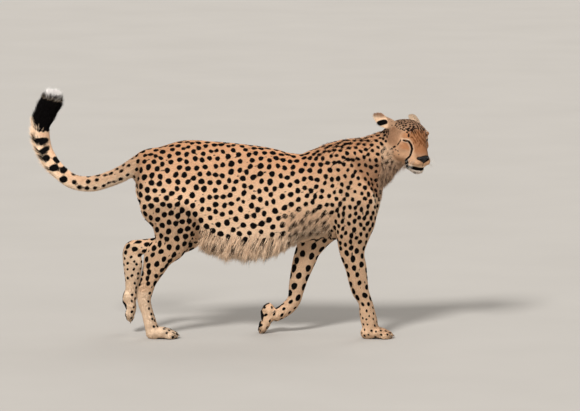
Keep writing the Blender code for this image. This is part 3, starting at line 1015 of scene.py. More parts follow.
    def _with_lids(self, local: Array) -> Array:
        """Shape the lids and the folds round them, and keep how far each vertex lies from their edge.

        Args:
            local: The skin's vertices in the head's frame.

        Returns:
            The vertices moved.
        """
        lids = np.full(len(local), 1.0)
        radius = self.head.eye_radius
        for side in Side:
            middle, outward, inner, up = self.eye_frame(side)
            arm = local - middle
            along, height = arm @ inner, arm @ up
            reach = np.hypot(along, height)
            near = (reach < 0.034) & (arm @ outward > 0.0)
            gap = LIDS.gap(along, height)
            distance = lengths(arm)
            lid = radius + LIDS.thickness + LIDS.roll * np.exp(-((gap - 0.0016) / 0.0016) ** 2)
            swell = np.maximum(lid, distance * 0.35 + lid * 0.65)
            wanted = np.where(gap < 0.0, radius - LIDS.opening_depth, swell)
            share = rise(reach, 0.0275, 0.0165) * near
            scale = 1.0 + (wanted / np.maximum(distance, 1e-6) - 1.0) * share
            local = middle + arm * scale[:, None]
            folds = 0.0009 * np.exp(-((gap - 0.0068) / 0.0011) ** 2)
            folds += 0.0006 * np.exp(-((gap - 0.0105) / 0.0012) ** 2)
            local -= np.where(near & (reach < 0.026), folds, 0.0)[:, None] * outward
            lids = np.where(near, np.minimum(lids, gap), lids)
        self.fields["lids"] = lids
        return local

    def _sculpt_feet(self) -> None:
        """Part the toes, and raise the pads under them and under the foot."""
        points = self.points.copy()
        sole = np.zeros(len(points))
        for foot in FEET:
            local = foot.local(self.points)
            ahead, beside = local[:, 0], local[:, 1]
            near = (lengths(local) < 0.11) & self.on(foot.leg)
            up = (self.normals @ np.array(foot.place().to_3x3()))[:, 2]
            clefts = [np.exp(-((beside - (first[0] + second[0]) / 2) / 0.0024) ** 2)
                      for first, second in zip(TOES, TOES[1:])]
            top = rise(ahead, 0.03, 0.055) * rise(up, -0.6, 0.1)
            points -= self.normals * (0.0026 * np.maximum.reduce(clefts) * top * near)[:, None]
            under = rise(up, -0.35, -0.75) * near
            heel = np.hypot((ahead - 0.018) / 0.02, beside / 0.024)
            pads = rise(heel, 1.15, 0.8)
            for lateral, tip in TOES:
                reach = np.hypot((ahead - tip + 0.006) / 0.012, (beside - lateral) / 0.0085)
                pads = np.maximum(pads, rise(reach, 1.15, 0.75))
            if foot.hang:
                # A lifted foot shows its pads, worn black, and the one at its wrist.
                points += self.normals * (0.003 * (pads - 0.25) * under)[:, None]
                wrist = np.hypot((ahead + 0.022) / 0.018, beside / 0.016)
                worn = rise(up, 0.10, -0.40) * near
                sole = np.maximum(sole, worn * np.maximum(rise(heel, 1.40, 0.95), rise(wrist, 1.2, 0.8)))
            sole = np.maximum(sole, pads * under)
        self.fields["sole"] = sole
        points[:, 2] = np.maximum(points[:, 2], 0.0004)
        self.refresh(points)

    # -- depth and lie of the coat

    def by_node(self, value: str) -> Array:
        """One size of the pelts for each vertex, by its node."""
        return np.array([getattr(pelt_of(node), value) for node in self.nodes])[self.label]

    def _sink(self) -> None:
        """Sink the skin by the depth of the coat over it, and find how long the coat is and how it lies."""
        for name, mask in self._long_hair().items():
            self.fields[name] = np.clip(spread(mask.astype(float), self.edges, 4), 0.0, 1.0)
        fields, face = self.fields, self.face
        muzzle = rise(lengths(face - np.array((0.085, 0.0, -0.06))), 0.085, 0.045)
        eye_near = rise(fields["lids"], 0.012, 0.004)
        depth = spread(self.by_node("depth"), self.edges, self.soft_rounds)
        depth += 0.022 * fields["belly"] + 0.005 * fields["elbow"] + 0.006 * fields["ruff"]
        depth += 0.006 * fields["throat"] + 0.004 * fields["nape"] + 0.006 * fields["fringe"]
        depth *= 1.0 - 0.75 * muzzle
        depth *= 1.0 - eye_near
        depth *= 1.0 - rise(self.normals[:, 2], -0.5, -0.9) * rise(self.points[:, 2], 0.03, 0.01)
        depth += 0.016 * fields["tuft"] * rise(self.normals @ np.array((0.45, 0.0, 0.89)), 0.1, 0.8)
        depth = spread(depth, self.edges, 3) * (1.0 - eye_near)
        hair = spread(self.by_node("hair"), self.edges, self.soft_rounds)
        hair *= 1.0 - 0.55 * muzzle
        hair *= 1.0 - 0.5 * eye_near
        crown = self.on("head") * rise(face[:, 2], 0.036, 0.056) * rise(face[:, 0], 0.03, 0.005)
        hair *= 1.0 - 0.2 * spread(crown, self.edges, 6)
        hair *= 1.0 + 0.9 * fields["rims"]
        fields["hair"] = hair
        fields["beard"] = 0.015 + 0.01 * rise(face[:, 2], -0.095, -0.13)
        fields["drop"] = self._drop()
        moved = self.points - self.normals * depth[:, None]
        rough = rise(depth, 0.006, 0.012)[:, None]
        self.refresh(moved * (1.0 - rough) + spread(moved, self.edges, 2) * rough)
        self.comb()

    def _long_hair(self) -> dict[str, Array]:
        """Find where the coat is long or stands up, as a share of 1 for each vertex.

        Returns:
            The shares by the name of the place.
        """
        trunk, on_trunk = self.within("trunk"), self.on("trunk")
        x, y, z = self.face.T
        along, height = self.points[:, 0], self.points[:, 2]
        up = self.normals[:, 2]
        belly = rise(-up, 0.25, 0.85) * rise(trunk[:, 0], 0.28, 0.42) * rise(trunk[:, 0], 0.93, 0.80)
        belly *= rise(trunk[:, 2], 0.42, 0.25) * on_trunk
        hem = 0.398 + 0.05 * rise(along, -0.06, -0.11)
        hem += 0.01 * np.sin(along * 71.0) + 0.007 * np.sin(along * 163.0 + 1.0)
        curtain = rise(height - hem, 0.03, -0.042) * rise(along, -0.13, -0.085) * rise(along, 0.34, 0.29)
        curtain *= rise(-up, -0.30, 0.10) * on_trunk
        elbow = rise(trunk[:, 0], 0.58, 0.68) * rise(trunk[:, 0], 0.86, 0.80) * rise(trunk[:, 2], 0.50, 0.34)
        elbow *= on_trunk * rise(np.abs(self.normals[:, 1]), 0.2, 0.7)
        beside = rise(np.abs(y), 0.112, 0.098)
        throat = self.on("neck", "head", "jaw") * rise(z, -0.07, -0.105)
        throat *= rise(x, 0.015, -0.02) * rise(z, -0.21, -0.18)
        throat *= beside
        ruff = self.on("head", "neck") * rise(x, 0.000, -0.03) * rise(x, -0.125, -0.085)
        ruff *= rise(z, -0.025, -0.055) * beside
        low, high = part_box("neck")
        nape = self.on("neck", "trunk") * rise(along, low[0] - 0.12, low[0] - 0.03)
        nape *= rise(up, 0.35, 0.8) * rise(along, high[0], high[0] - 0.06)
        fringe = self.on("tail_middle", "tail_base") * rise(self.tail_out(), 0.25, 0.85)
        fringe *= rise(self.within("tail_middle")[:, 0], 0.55, 0.25)
        ears = self.on("ear") * 1.0
        chin = self.on("jaw") * rise(up, -0.2, -0.6) * rise(z, -0.098, -0.104)
        return {
            "belly": belly, "curtain": curtain, "elbow": elbow, "throat": throat, "ruff": ruff, "nape": nape,
            "tuft": self.on("tail_tuft") * 1.0, "fringe": fringe, "ears": ears, "chin": chin,
            "rims": ears * rise(np.abs(y), 0.085, 0.105)}

    def _drop(self) -> Array:
        """Find how far each vertex's hair has to hang to reach the outline under the belly.

        Returns:
            The hair's length at each vertex.
        """
        mine, count = self.on("trunk"), self.belly_columns
        low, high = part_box("trunk")
        along, height = self.points[:, 0], self.points[:, 2]
        column = np.clip(((along - low[0]) / (high[0] - low[0]) * count).astype(int), 0, count - 1)
        floor = np.full(count, high[2])
        np.minimum.at(floor, column[mine], height[mine])
        floor = np.convolve(np.pad(floor, 2, mode="edge"), np.full(5, 0.2), mode="valid")
        wisps = 0.98 + 0.18 * np.sin(along * 118.0 + 1.0) * np.sin(along * 47.0 + 0.4)
        reach = np.clip(height - floor[column] + 0.016, 0.024, 0.092) * wisps
        return reach * (0.30 + 0.70 * self.fields["curtain"])

    def tail_out(self) -> Array:
        """Find how much each vertex of the tail faces the outside of its curl."""
        low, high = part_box("tail_middle")
        inside = np.array((high[0], (low[1] + high[1]) / 2, high[2]))
        return np.sum(unit(self.points - inside) * self.normals, axis=1)

    def comb(self) -> None:
        """Find the way the hair lies: along each limb's line, back from the nose on the head."""
        flow = np.zeros_like(self.points)
        for lie in LIES:
            mine = np.nonzero(self.on(*lie.nodes))[0]
            course = lie.points()
            starts, steps = course[:-1], np.diff(course, axis=0)
            arm = self.points[mine][:, None, :] - starts[None]
            part = np.clip((arm * steps).sum(axis=2) / (steps * steps).sum(axis=1), 0.0, 1.0)
            away = np.linalg.norm(arm - part[:, :, None] * steps, axis=2)
            weight = 1.0 / (away + 0.01) ** 4
            flow[mine] = (weight[:, :, None] * unit(steps)[None]).sum(axis=1)
        head = self.on("head", "jaw", "ear")
        back = self.face - np.array((0.100, 0.0, -0.04))
        back[:, 2] -= 0.03 * rise(self.face[:, 2], -0.02, -0.08)
        flow[head] = unit(back[head]) @ self.head.turn.T
        for side in Side:
            node = f"ear_{side.word}"
            low, high = corners(node)
            flow[self.on(node)] = unit((low + high) / 2 - self.head.ear_root(side))
        flow = unit(spread(unit(flow), self.edges, 14))
        flow -= self.normals * np.sum(flow * self.normals, axis=1)[:, None]
        self.flow = unit(spread(unit(flow), self.edges, 4))

    def finish(self, material: Material) -> None:
        """Keep the fields on the mesh, unwrap it and dress it.

        Args:
            material: The skin's material.
        """
        mesh = self.item.data
        mesh.materials.clear()
        mesh.materials.append(material)
        mesh.shade_smooth()
        set_field(mesh, "flow", self.flow)
        for name, values in self.fields.items():
            set_field(mesh, name, values)
        bpy.context.view_layer.objects.active = self.item
        self.item.select_set(True)
        bpy.ops.object.mode_set(mode="EDIT")
        bpy.ops.mesh.select_all(action="SELECT")
        bpy.ops.uv.smart_project(angle_limit=math.radians(66.0), island_margin=0.002)
        bpy.ops.object.mode_set(mode="OBJECT")
        self.item.select_set(False)
        mesh.uv_layers[0].name = "OFBake"
        fit(self.item, "coat", *self.nodes)


@dataclass(frozen=True)
class Lids:
    """The slit of a squinting eye: half its length, half its height, and how thick the lids are."""

    half_length: float = 0.0145
    half_height: float = 0.0012
    thickness: float = 0.0016
    roll: float = 0.0008
    opening_depth: float = 0.003

    def gap(self, along: Array, height: Array) -> Array:
        """Find how far places lie outside the lids' edge.

        Args:
            along: How far each lies towards the eye's inner corner.
            height: How far it lies above the eye's middle.

        Returns:
            The distances, negative within the slit.
        """
        part = np.clip(1.0 - (along / self.half_length) ** 2, 0.0, 1.0)
        middle = -0.10 * along
        inside = np.abs(height - middle) - self.half_height * part
        beyond = np.maximum(np.abs(along) - self.half_length, 0.0)
        return np.where(beyond > 0.0, np.hypot(np.maximum(np.abs(height - middle), 0.0), beyond), inside)


@dataclass(frozen=True)
class Lips:
    """The line of the lips in the head's frame."""

    level: float = -0.079
    corner_drop: float = 0.006

    def height(self, forward: Array) -> Array:
        """How high the line runs at a place along the muzzle."""
        return self.level - self.corner_drop * np.clip((0.06 - forward) / 0.05, 0.0, 1.0) ** 2


LIDS = Lids()
LIPS = Lips()


# ---- markings


@dataclass(frozen=True)
class Stroke:
    """A drawn mark on the face, mirrored to both sides: a course in the head's frame and its half width.

    The course is laid on the skin before it is used.
    """

    course: tuple[Vec, ...]
    start: float
    end: float

    def distance(self, face: Array) -> Array:
        """Find how far points lie outside the mark's edge.

        Args:
            face: The skin's vertices in the head's frame.

        Returns:
            The distances, negative within the mark.
        """
        mirrored = folded(face)
        nearest = [np.argmin(((mirrored - np.array(spot)) ** 2).sum(axis=1)) for spot in self.course]
        course = mirrored[nearest]
        best = np.full(len(face), 1.0)
        count = max(len(course) - 1, 1)
        for index in range(count):
            first = course[index]
            step = course[min(index + 1, len(course) - 1)] - first
            length = max(float(step @ step), 1e-12)
            part = np.clip((mirrored - first) @ step / length, 0.0, 1.0)
            away = lengths(mirrored - first - part[:, None] * step)
            half = self.start + (self.end - self.start) * (index + part) / count
            best = np.minimum(best, away - half)
        return best


TEAR_LINE = Stroke((
    (0.033, 0.037, 0.005), (0.049, 0.036, -0.005), (0.057, 0.035, -0.019), (0.059, 0.0375, -0.035),
    (0.057, 0.043, -0.051), (0.05, 0.05, -0.066)), 0.0042, 0.0048)
OUTER_LINE = Stroke(((0.0115, 0.0626, 0.0047), (0.0034, 0.0711, -0.0166)), 0.002, 0.0026)
FACE_STROKES = (
    TEAR_LINE,
    OUTER_LINE,
    Stroke(((-0.006, 0.0755, -0.027), (-0.013, 0.078, -0.0345)), 0.0034, 0.0032),
    Stroke(((-0.02, 0.0812, -0.042), (-0.029, 0.0825, -0.048)), 0.0032, 0.003),
    Stroke(((-0.038, 0.0832, -0.053), (-0.053, 0.094, -0.056)), 0.0026, 0.003),
    Stroke(((0.03, 0.042, 0.026), (0.028, 0.04, 0.034)), 0.004, 0.003),
    Stroke(((0.011, 0.036, 0.045), (0.005, 0.033, 0.05)), 0.0036, 0.0028),
    Stroke(((-0.0003, 0.0748, -0.0393),), 0.003, 0.003),
    Stroke(((0.0097, 0.0685, -0.0432),), 0.0028, 0.0028),
    Stroke(((-0.016, 0.0797, -0.0534),), 0.0034, 0.0034),
    Stroke(((-0.0253, 0.0777, -0.0708),), 0.0036, 0.0036),
    Stroke(((-0.008, 0.076, -0.07),), 0.0022, 0.0022),
    Stroke(((0.0117, 0.0667, -0.0566),), 0.0026, 0.0026),
    Stroke(((-0.0399, 0.0871, -0.0817),), 0.0038, 0.0038),
    Stroke(((0.073, 0.02, -0.112), (0.075, 0.016, -0.115)), 0.0028, 0.0026),
    Stroke(((0.016, 0.022, 0.057), (0.028, 0.022, 0.045), (0.036, 0.02, 0.037)), 0.0021, 0.0014),
    Stroke(((0.006, 0.0115, 0.06), (0.016, 0.011, 0.054)), 0.0022, 0.0018),
    Stroke(((0.026, 0.013, 0.047), (0.036, 0.012, 0.039)), 0.0019, 0.0013),
)
MOUTH_CORNER = Stroke((
    (0.052, 0.051, -0.074), (0.046, 0.046, -0.085), (0.04, 0.036, -0.098)), 0.012, 0.0095)
EAR_PATCH = Stroke(((-0.087, 0.109, 0.044), (-0.08, 0.0885, 0.05)), 0.0105, 0.01)


@dataclass(frozen=True)
class Blot:
    """A mark on the tail, from the side: its place from the low corner of the tuft, half sizes and tilt."""

    right: float
    up: float
    half_long: float
    half_wide: float
    tilt: float
    squareness: float = 2.6

    def distance(self, across: Array, height: Array) -> Array:
        """Find how far places lie outside the mark's edge.

        Args:
            across: How far each place is to the right of the tuft's low corner.
            height: How far it is above that corner.

        Returns:
            The distances, negative within the mark.
        """
        turn = math.radians(self.tilt)
        along = (across - self.right) * math.cos(turn) + (height - self.up) * math.sin(turn)
        beside = (height - self.up) * math.cos(turn) - (across - self.right) * math.sin(turn)
        power = self.squareness
        reach = np.abs(along / self.half_long) ** power + np.abs(beside / self.half_wide) ** power
        reach = reach ** (1.0 / power)
        return (reach - 1.0) * self.half_wide


TAIL_BLOTS: tuple[Blot, ...] = (
    Blot(0.038, -0.038, 0.041, 0.015, 10.0),
    Blot(0.058, -0.074, 0.028, 0.0115, 32.0),
    Blot(0.066, -0.107, 0.018, 0.0135, 40.0),
    Blot(0.106, -0.114, 0.016, 0.0095, -38.0),
    Blot(0.098, -0.144, 0.019, 0.014, 20.0),
    Blot(0.05, -0.14, 0.014, 0.0085, 0.0),
    Blot(0.092, -0.182, 0.015, 0.0105, 10.0),
    Blot(0.136, -0.154, 0.016, 0.0125, 40.0),
    Blot(0.136, -0.19, 0.016, 0.014, 20.0),
)


def middle_of_trunk() -> float:
    """Where the body's middle lies from side to side."""
    low, high = corners("trunk")
    return float(low[1] + high[1]) / 2


def whisker_places() -> list[tuple[float, float]]:
    """Find where whiskers grow on a pad."""
    return [(0.088 - 0.0085 * place - 0.002 * row, -0.056 - 0.0062 * row - 0.0008 * place)
            for row in range(WHISKER_ROWS) for place in range(WHISKERS_A_ROW)]


@dataclass
class Spots:
    """Strewn spots: each one's vertex, radius, stretch along the hair, outline, and turn from the hair."""

    home: Array
    radius: Array
    stretch: Array
    phases: Array
    turn: Array


@dataclass
class Markings:
    """The cheetah's pattern, worked out once on the skin and carried by skin and coat alike.

    Solid round spots are strewn evenly, each a little irregular and drawn out along the hair; smaller ones
    fill the wider gaps. The marks of the face, the ears, the lips and the tail are placed one by one.
    """

    skin: Skin
    random: np.random.Generator
    seed_gap: float = 0.79
    seed_sizes: tuple[float, float] = (0.88, 1.12)
    filler_gap: float = 0.60
    filler_sizes: tuple[float, float] = (0.22, 0.42)
    filler_part: float = 0.34
    evening: int = 8
    crowding: float = 0.43
    sway: float = 0.30

    def paint(self) -> None:
        """Work out how far each vertex lies from a dark mark, and its ground tints."""
        sole = self.skin.fields["sole"]
        pads = np.where(sole > 0.02, 0.35 - sole, 1.0) * 0.01
        marks = (self._strewn(), self._face_marks(), self._tail_marks(), pads)
        self.skin.fields["spot"] = np.clip(np.minimum.reduce(marks), -0.02, 0.02)
        self._tint()

    # -- strewn spots

    def _shoulder(self) -> Array:
        """How far forward on the trunk each vertex lies, 0 to 1."""
        return rise(self.skin.within("trunk")[:, 0], 0.60, 0.90) * self.skin.on("trunk")

    def _regional(self) -> tuple[Array, Array]:
        """Find the spots' spacing and size at each vertex.

        They are smaller and closer at the shoulder and along the spine, and larger and wider apart on the
        inner forelegs and at the back of the head.

        Returns:
            The spacing and the size.
        """
        skin = self.skin
        gap, size = (spread(skin.by_node(value), skin.edges, skin.soft_rounds) for value in ("gap", "spot"))
        trunk, on_trunk = skin.within("trunk"), skin.on("trunk") * 1.0
        front = self._shoulder()
        top = rise(trunk[:, 2], 0.72, 0.98) * on_trunk
        low = rise(trunk[:, 2], 0.45, 0.10) * on_trunk
        inner = rise(self._inner(), 0.2, 0.7) * skin.on("foreleg")
        back = rise(skin.face[:, 0], -0.03, -0.10) * skin.on("head")
        wider = 1.0 - 0.24 * front - 0.20 * top + 0.14 * low + 0.65 * inner + 0.30 * back
        larger = 1.0 - 0.22 * front - 0.08 * top + 0.02 * low + 0.35 * inner + 0.30 * back
        return gap * spread(wider, skin.edges, 8), size * spread(larger, skin.edges, 8)

    def _clear_of_spots(self) -> Array:
        """Find where strewn spots may have their middle.

        Returns:
            True there, for each vertex.
        """
        skin, head = self.skin, self.skin.on("head")
        x, y, z = skin.face.T
        side = np.abs(y)
        bare = skin.on("jaw", "tail_tuft") | (skin.on("ear") & (side > 0.078))
        muzzle = head & (x > -0.04) & (z < 0.03)
        front = head & (x > 0.02)
        cheek = head & (x > -0.06) & (side > 0.045) & (z < 0.038)
        chin = head & (skin.fields["throat"] > 0.5)
        belly = skin.on("trunk") & (skin.fields["belly"] > 0.75)
        tail_end = skin.on("tail_middle") & (skin.points[:, 0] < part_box("tail_tuft")[0][0] + 0.16)
        underside = skin.on("tail_middle", "tail_base") & (skin.tail_out() > 0.80)
        shank = skin.on("hindleg") & (skin.points[:, 2] < 0.21) & (skin.normals[:, 0] < 0.1)
        return ~(bare | muzzle | front | cheek | chin | belly | tail_end | underside | shank)

    def _inner(self) -> Array:
        """How much each vertex of a leg faces the other leg."""
        return -np.sign(self.skin.points[:, 1] - middle_of_trunk()) * self.skin.normals[:, 1]

    def _too_near(self, first: int, second: int, gap: Array) -> bool:
        """True for two vertices nearer to each other than the mean of their gaps."""
        away = self.skin.points[first] - self.skin.points[second]
        return bool(away @ away < ((gap[first] + gap[second]) / 2) ** 2)

    def _dart(self, order: Array, gap: Array, taken: list[int]) -> list[int]:
        """Choose vertices in a random order, none too near to one already chosen.

        Args:
            order: The vertices to try, in turn.
            gap: The gap that each one wants.
            taken: Vertices chosen before.

        Returns:
            The vertices chosen now.
        """
        keys = (self.skin.points // float(gap.max())).astype(int)
        around = [(i, j, k) for i in (-1, 0, 1) for j in (-1, 0, 1) for k in (-1, 0, 1)]
        boxes: dict[tuple[int, int, int], list[int]] = {}
        for index in taken:
            boxes.setdefault(tuple(keys[index]), []).append(index)
        chosen = []
        for index in order:
            x, y, z = keys[index]
            others = (other for i, j, k in around for other in boxes.get((x + i, y + j, z + k), ()))
            if not any(self._too_near(index, other, gap) for other in others):
                chosen.append(index)
                boxes.setdefault((x, y, z), []).append(index)
        return chosen

    def _even_out(self, seeds: list[int], clear: Array) -> list[int]:
        """Move each seed to the middle of the skin nearest to it, a few times over.

        Args:
            seeds: Their vertices.
            clear: True where they may lie.

        Returns:
            The vertices they end on.
        """
        points = self.skin.points
        pool = np.nonzero(clear)[0]
        for _ in range(self.evening):
            tree, count = search(points[seeds]), len(seeds)
            owner = np.array([tree.find(points[index])[1] for index in pool])
            total = np.maximum(np.bincount(owner, minlength=count), 1)
            sums = [np.bincount(owner, weights=points[pool, k], minlength=count) for k in range(3)]
            middle = np.stack(sums, axis=1) / total[:, None]
            away = lengths(points[pool] - middle[owner])
            best = np.lexsort((away, owner))
            first = np.unique(owner[best], return_index=True)[1]
            seeds = [int(pool[best[k]]) for k in first]
        return seeds

    def _strewn(self) -> Array:
        """Strew even spots, and small ones in the wider gaps between them.

        Returns:
            How far each vertex lies from the nearest spot's edge, negative within it.
        """
        random = self.random
        clear = self._clear_of_spots()
        gap, size = self._regional()
        order = random.permutation(np.nonzero(clear)[0])
        seeds = self._even_out(self._dart(order, gap * self.seed_gap, []), clear)
        fillers = self._dart(order, gap * self.filler_gap, seeds)
        fillers = [index for index in fillers if random.random() < self.filler_part]
        home, count = np.array(seeds + fillers), len(seeds) + len(fillers)
        sizes = [random.uniform(*self.seed_sizes, len(seeds))]
        sizes.append(random.uniform(*self.filler_sizes, len(fillers)))
        stretch = self._stretch(home, random.uniform(-0.08, 0.08, count))
        phases = random.uniform(0.0, 2.0 * math.pi, (2, count))
        turn = random.normal(0.0, self.sway, count)
        spots = Spots(home, size[home] * np.concatenate(sizes), stretch, phases, turn)
        self._keep_apart(spots, len(seeds))
        tree = search(self.skin.points[home])
        self._fit_between(spots, len(seeds), tree)
        return self._from_spots(spots, tree)

    def _stretch(self, home: Array, chance: Array) -> Array:
        """Find how far spots are drawn out along the hair.

        Args:
            home: The spots' vertices.
            chance: What chance adds to each.

        Returns:
            Their length over their width.
        """
        skin = self.skin
        trunk, neck = skin.on("trunk"), skin.on("neck")
        top = rise(skin.normals[home, 2], 0.5, 0.95) * skin.on("trunk", "neck")[home]
        leg = skin.on("foreleg", "hindleg_left_shin", "hindleg_right_shin")[home]
        tall = (0.26 * neck + (0.07 + 0.13 * self._shoulder()) * trunk)[home]
        return 1.0 + chance + 0.18 * top + 0.20 * leg - tall * (1.0 - top)

    def _keep_apart(self, spots: Spots, count: int) -> None:
        """Make even spots smaller or slimmer where another lies too near, above all along the hair.

        Args:
            spots: All spots, the even ones first.
            count: How many are even ones.
        """
        skin, seeds = self.skin, spots.home[:count]
        tree, front = search(skin.points[seeds]), self._shoulder()
        share = self.crowding + 0.045 * (skin.on("neck") + front)[seeds]
        lean = (0.80 - 0.60 * np.clip(skin.on("head", "neck") + front, 0.0, 1.0)) * skin.fields["hair"]
        slim = np.ones(len(spots.home))
        for number, index in enumerate(seeds):
            others = tree.find_n(skin.points[index], 5)[1:]
            spots.radius[number] = min(spots.radius[number], share[number] * others[0][2])
            for place, _, apart in others:
                along = float((np.array(place) - skin.points[index]) @ skin.flow[index]) / apart
                free = (apart - lean[index]) / (2.0 * spots.radius[number])
                slim[number] = min(slim[number], 1.0 - along * along * (1.0 - np.clip(free, 0.6, 1.0)))
        spots.radius *= slim ** 0.4
        spots.stretch *= slim ** 0.6

    def _fit_between(self, spots: Spots, count: int, tree: KDTree) -> None:
        """Let small spots fill no more than half the room to their neighbours.

        Args:
            spots: All spots, the even ones first.
            count: How many are even ones.
            tree: Finds the nearest of all spots.
        """
        for number in range(count, len(spots.home)):
            hits = tree.find_n(self.skin.points[spots.home[number]], 4)
            room = min(hit[2] - spots.radius[hit[1]] for hit in hits if hit[1] != number)
            spots.radius[number] = min(spots.radius[number], 0.5 * max(room, 0.002))

    def _from_spots(self, spots: Spots, tree: KDTree) -> Array:
        """Measure each vertex from its nearest spots, which are drawn out, turned and a little irregular.

        Args:
            spots: All spots.
            tree: Finds the nearest of them.

        Returns:
            How far each vertex lies from the nearest edge.
        """
        points, home = self.skin.points, spots.home
        normals, flow = self.skin.normals[home], self.skin.flow[home]
        turn = spots.turn[:, None]
        ways = flow * np.cos(turn) + np.cross(normals, flow) * np.sin(turn)
        sideways = np.cross(normals, ways)
        nearest = np.array([[hit[1] for hit in tree.find_n(point, 4)] for point in points])
        best = np.full(len(points), 1.0)
        for near in nearest.T:
            arm = points - points[home[near]]
            along = (arm * ways[near]).sum(axis=1) / spots.stretch[near]
            across = (arm * sideways[near]).sum(axis=1) * np.sqrt(spots.stretch[near])
            deep = (arm * normals[near]).sum(axis=1)
            angle = np.arctan2(across, along)
            first, second = spots.phases[:, near]
            wobble = 1.0 + 0.06 * np.sin(2 * angle + first) + 0.05 * np.sin(3 * angle + second)
            away = np.sqrt(along ** 2 + across ** 2 + deep ** 2) - spots.radius[near] * wobble
            best = np.minimum(best, away)
        return best

    # -- drawn marks

    def _face_marks(self) -> Array:
        """Draw the marks of the face, the lids, the lips and the ears.

        Returns:
            How far each vertex lies from the nearest one's edge.
        """
        skin, face = self.skin, self.skin.face
        x, y, z = face.T
        mottle = 0.0034 * np.sin(x * 820.0) * np.sin(z * 900.0 + 1.0)
        lip = np.abs(z - LIPS.height(x) + 0.015) - 0.008
        philtrum = np.maximum(np.abs(y) - 0.0013, np.abs(z + 0.07) - 0.011)
        rows = [np.hypot(x - ahead, z - up) - 0.001 for ahead, up in whisker_places()]
        marks = [stroke.distance(face) - 0.0006 for stroke in FACE_STROKES]
        marks += [
            skin.fields["lids"] - 0.0024, (skin.fields["nose"] - 1.10) * 0.016,
            MOUTH_CORNER.distance(face) + mottle - 0.0004, np.maximum(lip, 0.03 - x),
            np.maximum(philtrum, 0.08 - x), np.where(np.abs(y) > 0.01, np.minimum.reduce(rows), 1.0)]
        best = np.where(skin.on("head", "jaw"), np.minimum.reduce(marks), 1.0)
        return np.minimum(best, np.where(skin.on("ear"), EAR_PATCH.distance(face), 1.0))





    def _tail_marks(self) -> Array:
        """Draw the large spots of the tail and its black end, whose tip is white.

        Returns:
            How far each vertex lies from the nearest one's edge.
        """
        skin = self.skin
        low = corners("tail_tuft")[0]
        across, height = skin.points[:, 0] - low[0], skin.points[:, 2] - low[2]
        black_end = 0.002 + 1.2 * np.maximum(0.035 - across, 0.0) - height + 0.003 * np.sin(across * 420.0)
        marks = np.minimum.reduce([blot.distance(across, height) for blot in TAIL_BLOTS])
        marks = np.maximum(marks, 0.05 * (skin.tail_out() - 0.93))
        best = np.minimum(np.maximum(black_end, self._white_tip()), marks)
        return np.where(skin.on("tail_tuft", "tail_middle"), best, 1.0)

    def _white_tip(self) -> Array:
        """Distance of each vertex into the tail's white tip, negative before it."""
        (left, _, _), (right, _, top) = corners("tail_tuft")
        return self.skin.points[:, 2] - (top - 0.046) + 0.24 * (self.skin.points[:, 0] - (left + right) / 2)

    # -- ground tints

    def _tint(self) -> None:
        """Cream below and inside, warm along the spine and on the face, dusky where hair is shadowed."""
        skin, fields = self.skin, self.skin.fields
        pale = self._pale()
        for name, values in (("pale", pale), ("warm", self._warm() * (1.0 - pale)), ("dusk", self._dusk())):
            fields[name] = np.clip(spread(values, skin.edges, 2), 0.0, 1.0)
        fields["dusk"] = np.clip(fields["dusk"] + self._brow() * self._brow_streaks(), 0.0, 1.0)
        fields["tip"] = np.clip(0.45 * fields["elbow"] + 0.12 * fields["curtain"], 0.0, 1.0)
        snow = skin.on("tail_tuft") * rise(self._white_tip(), -0.02, 0.0) + 0.6 * self._chin()
        fields["snow"] = np.clip(snow, 0.0, 1.0)

    def _chin(self) -> Array:
        """The share of each vertex in the chin."""
        return self.skin.on("jaw") * rise(self.skin.face[:, 2], -0.094, -0.100)

    def _crown(self) -> Array:
        """The share of each vertex in the top of the head."""
        return self.skin.on("head", "jaw") * 1.0 * rise(self.skin.face[:, 2], 0.035, 0.055)

    def _front(self) -> Array:
        """The share of each vertex in the front of the face."""
        x, _, z = self.skin.face.T
        level = rise(z, -0.045, -0.02) * rise(z, 0.062, 0.045)
        return self.skin.on("head", "jaw") * rise(x, -0.01, 0.03) * level

    def _brow(self) -> Array:
        """The share of each vertex in the brow."""
        x, _, z = self.skin.face.T
        level = rise(z, -0.02, 0.015) * rise(z, 0.066, 0.052)
        return self.skin.on("head", "jaw") * rise(x, 0.0, 0.02) * level

    def _ear_clear(self) -> Array:
        """The share of each vertex that the crown's colour leaves to the ears."""
        side = self.skin.face[:, 1]
        return np.maximum(rise(-side, 0.072, 0.084), side > 0.0)

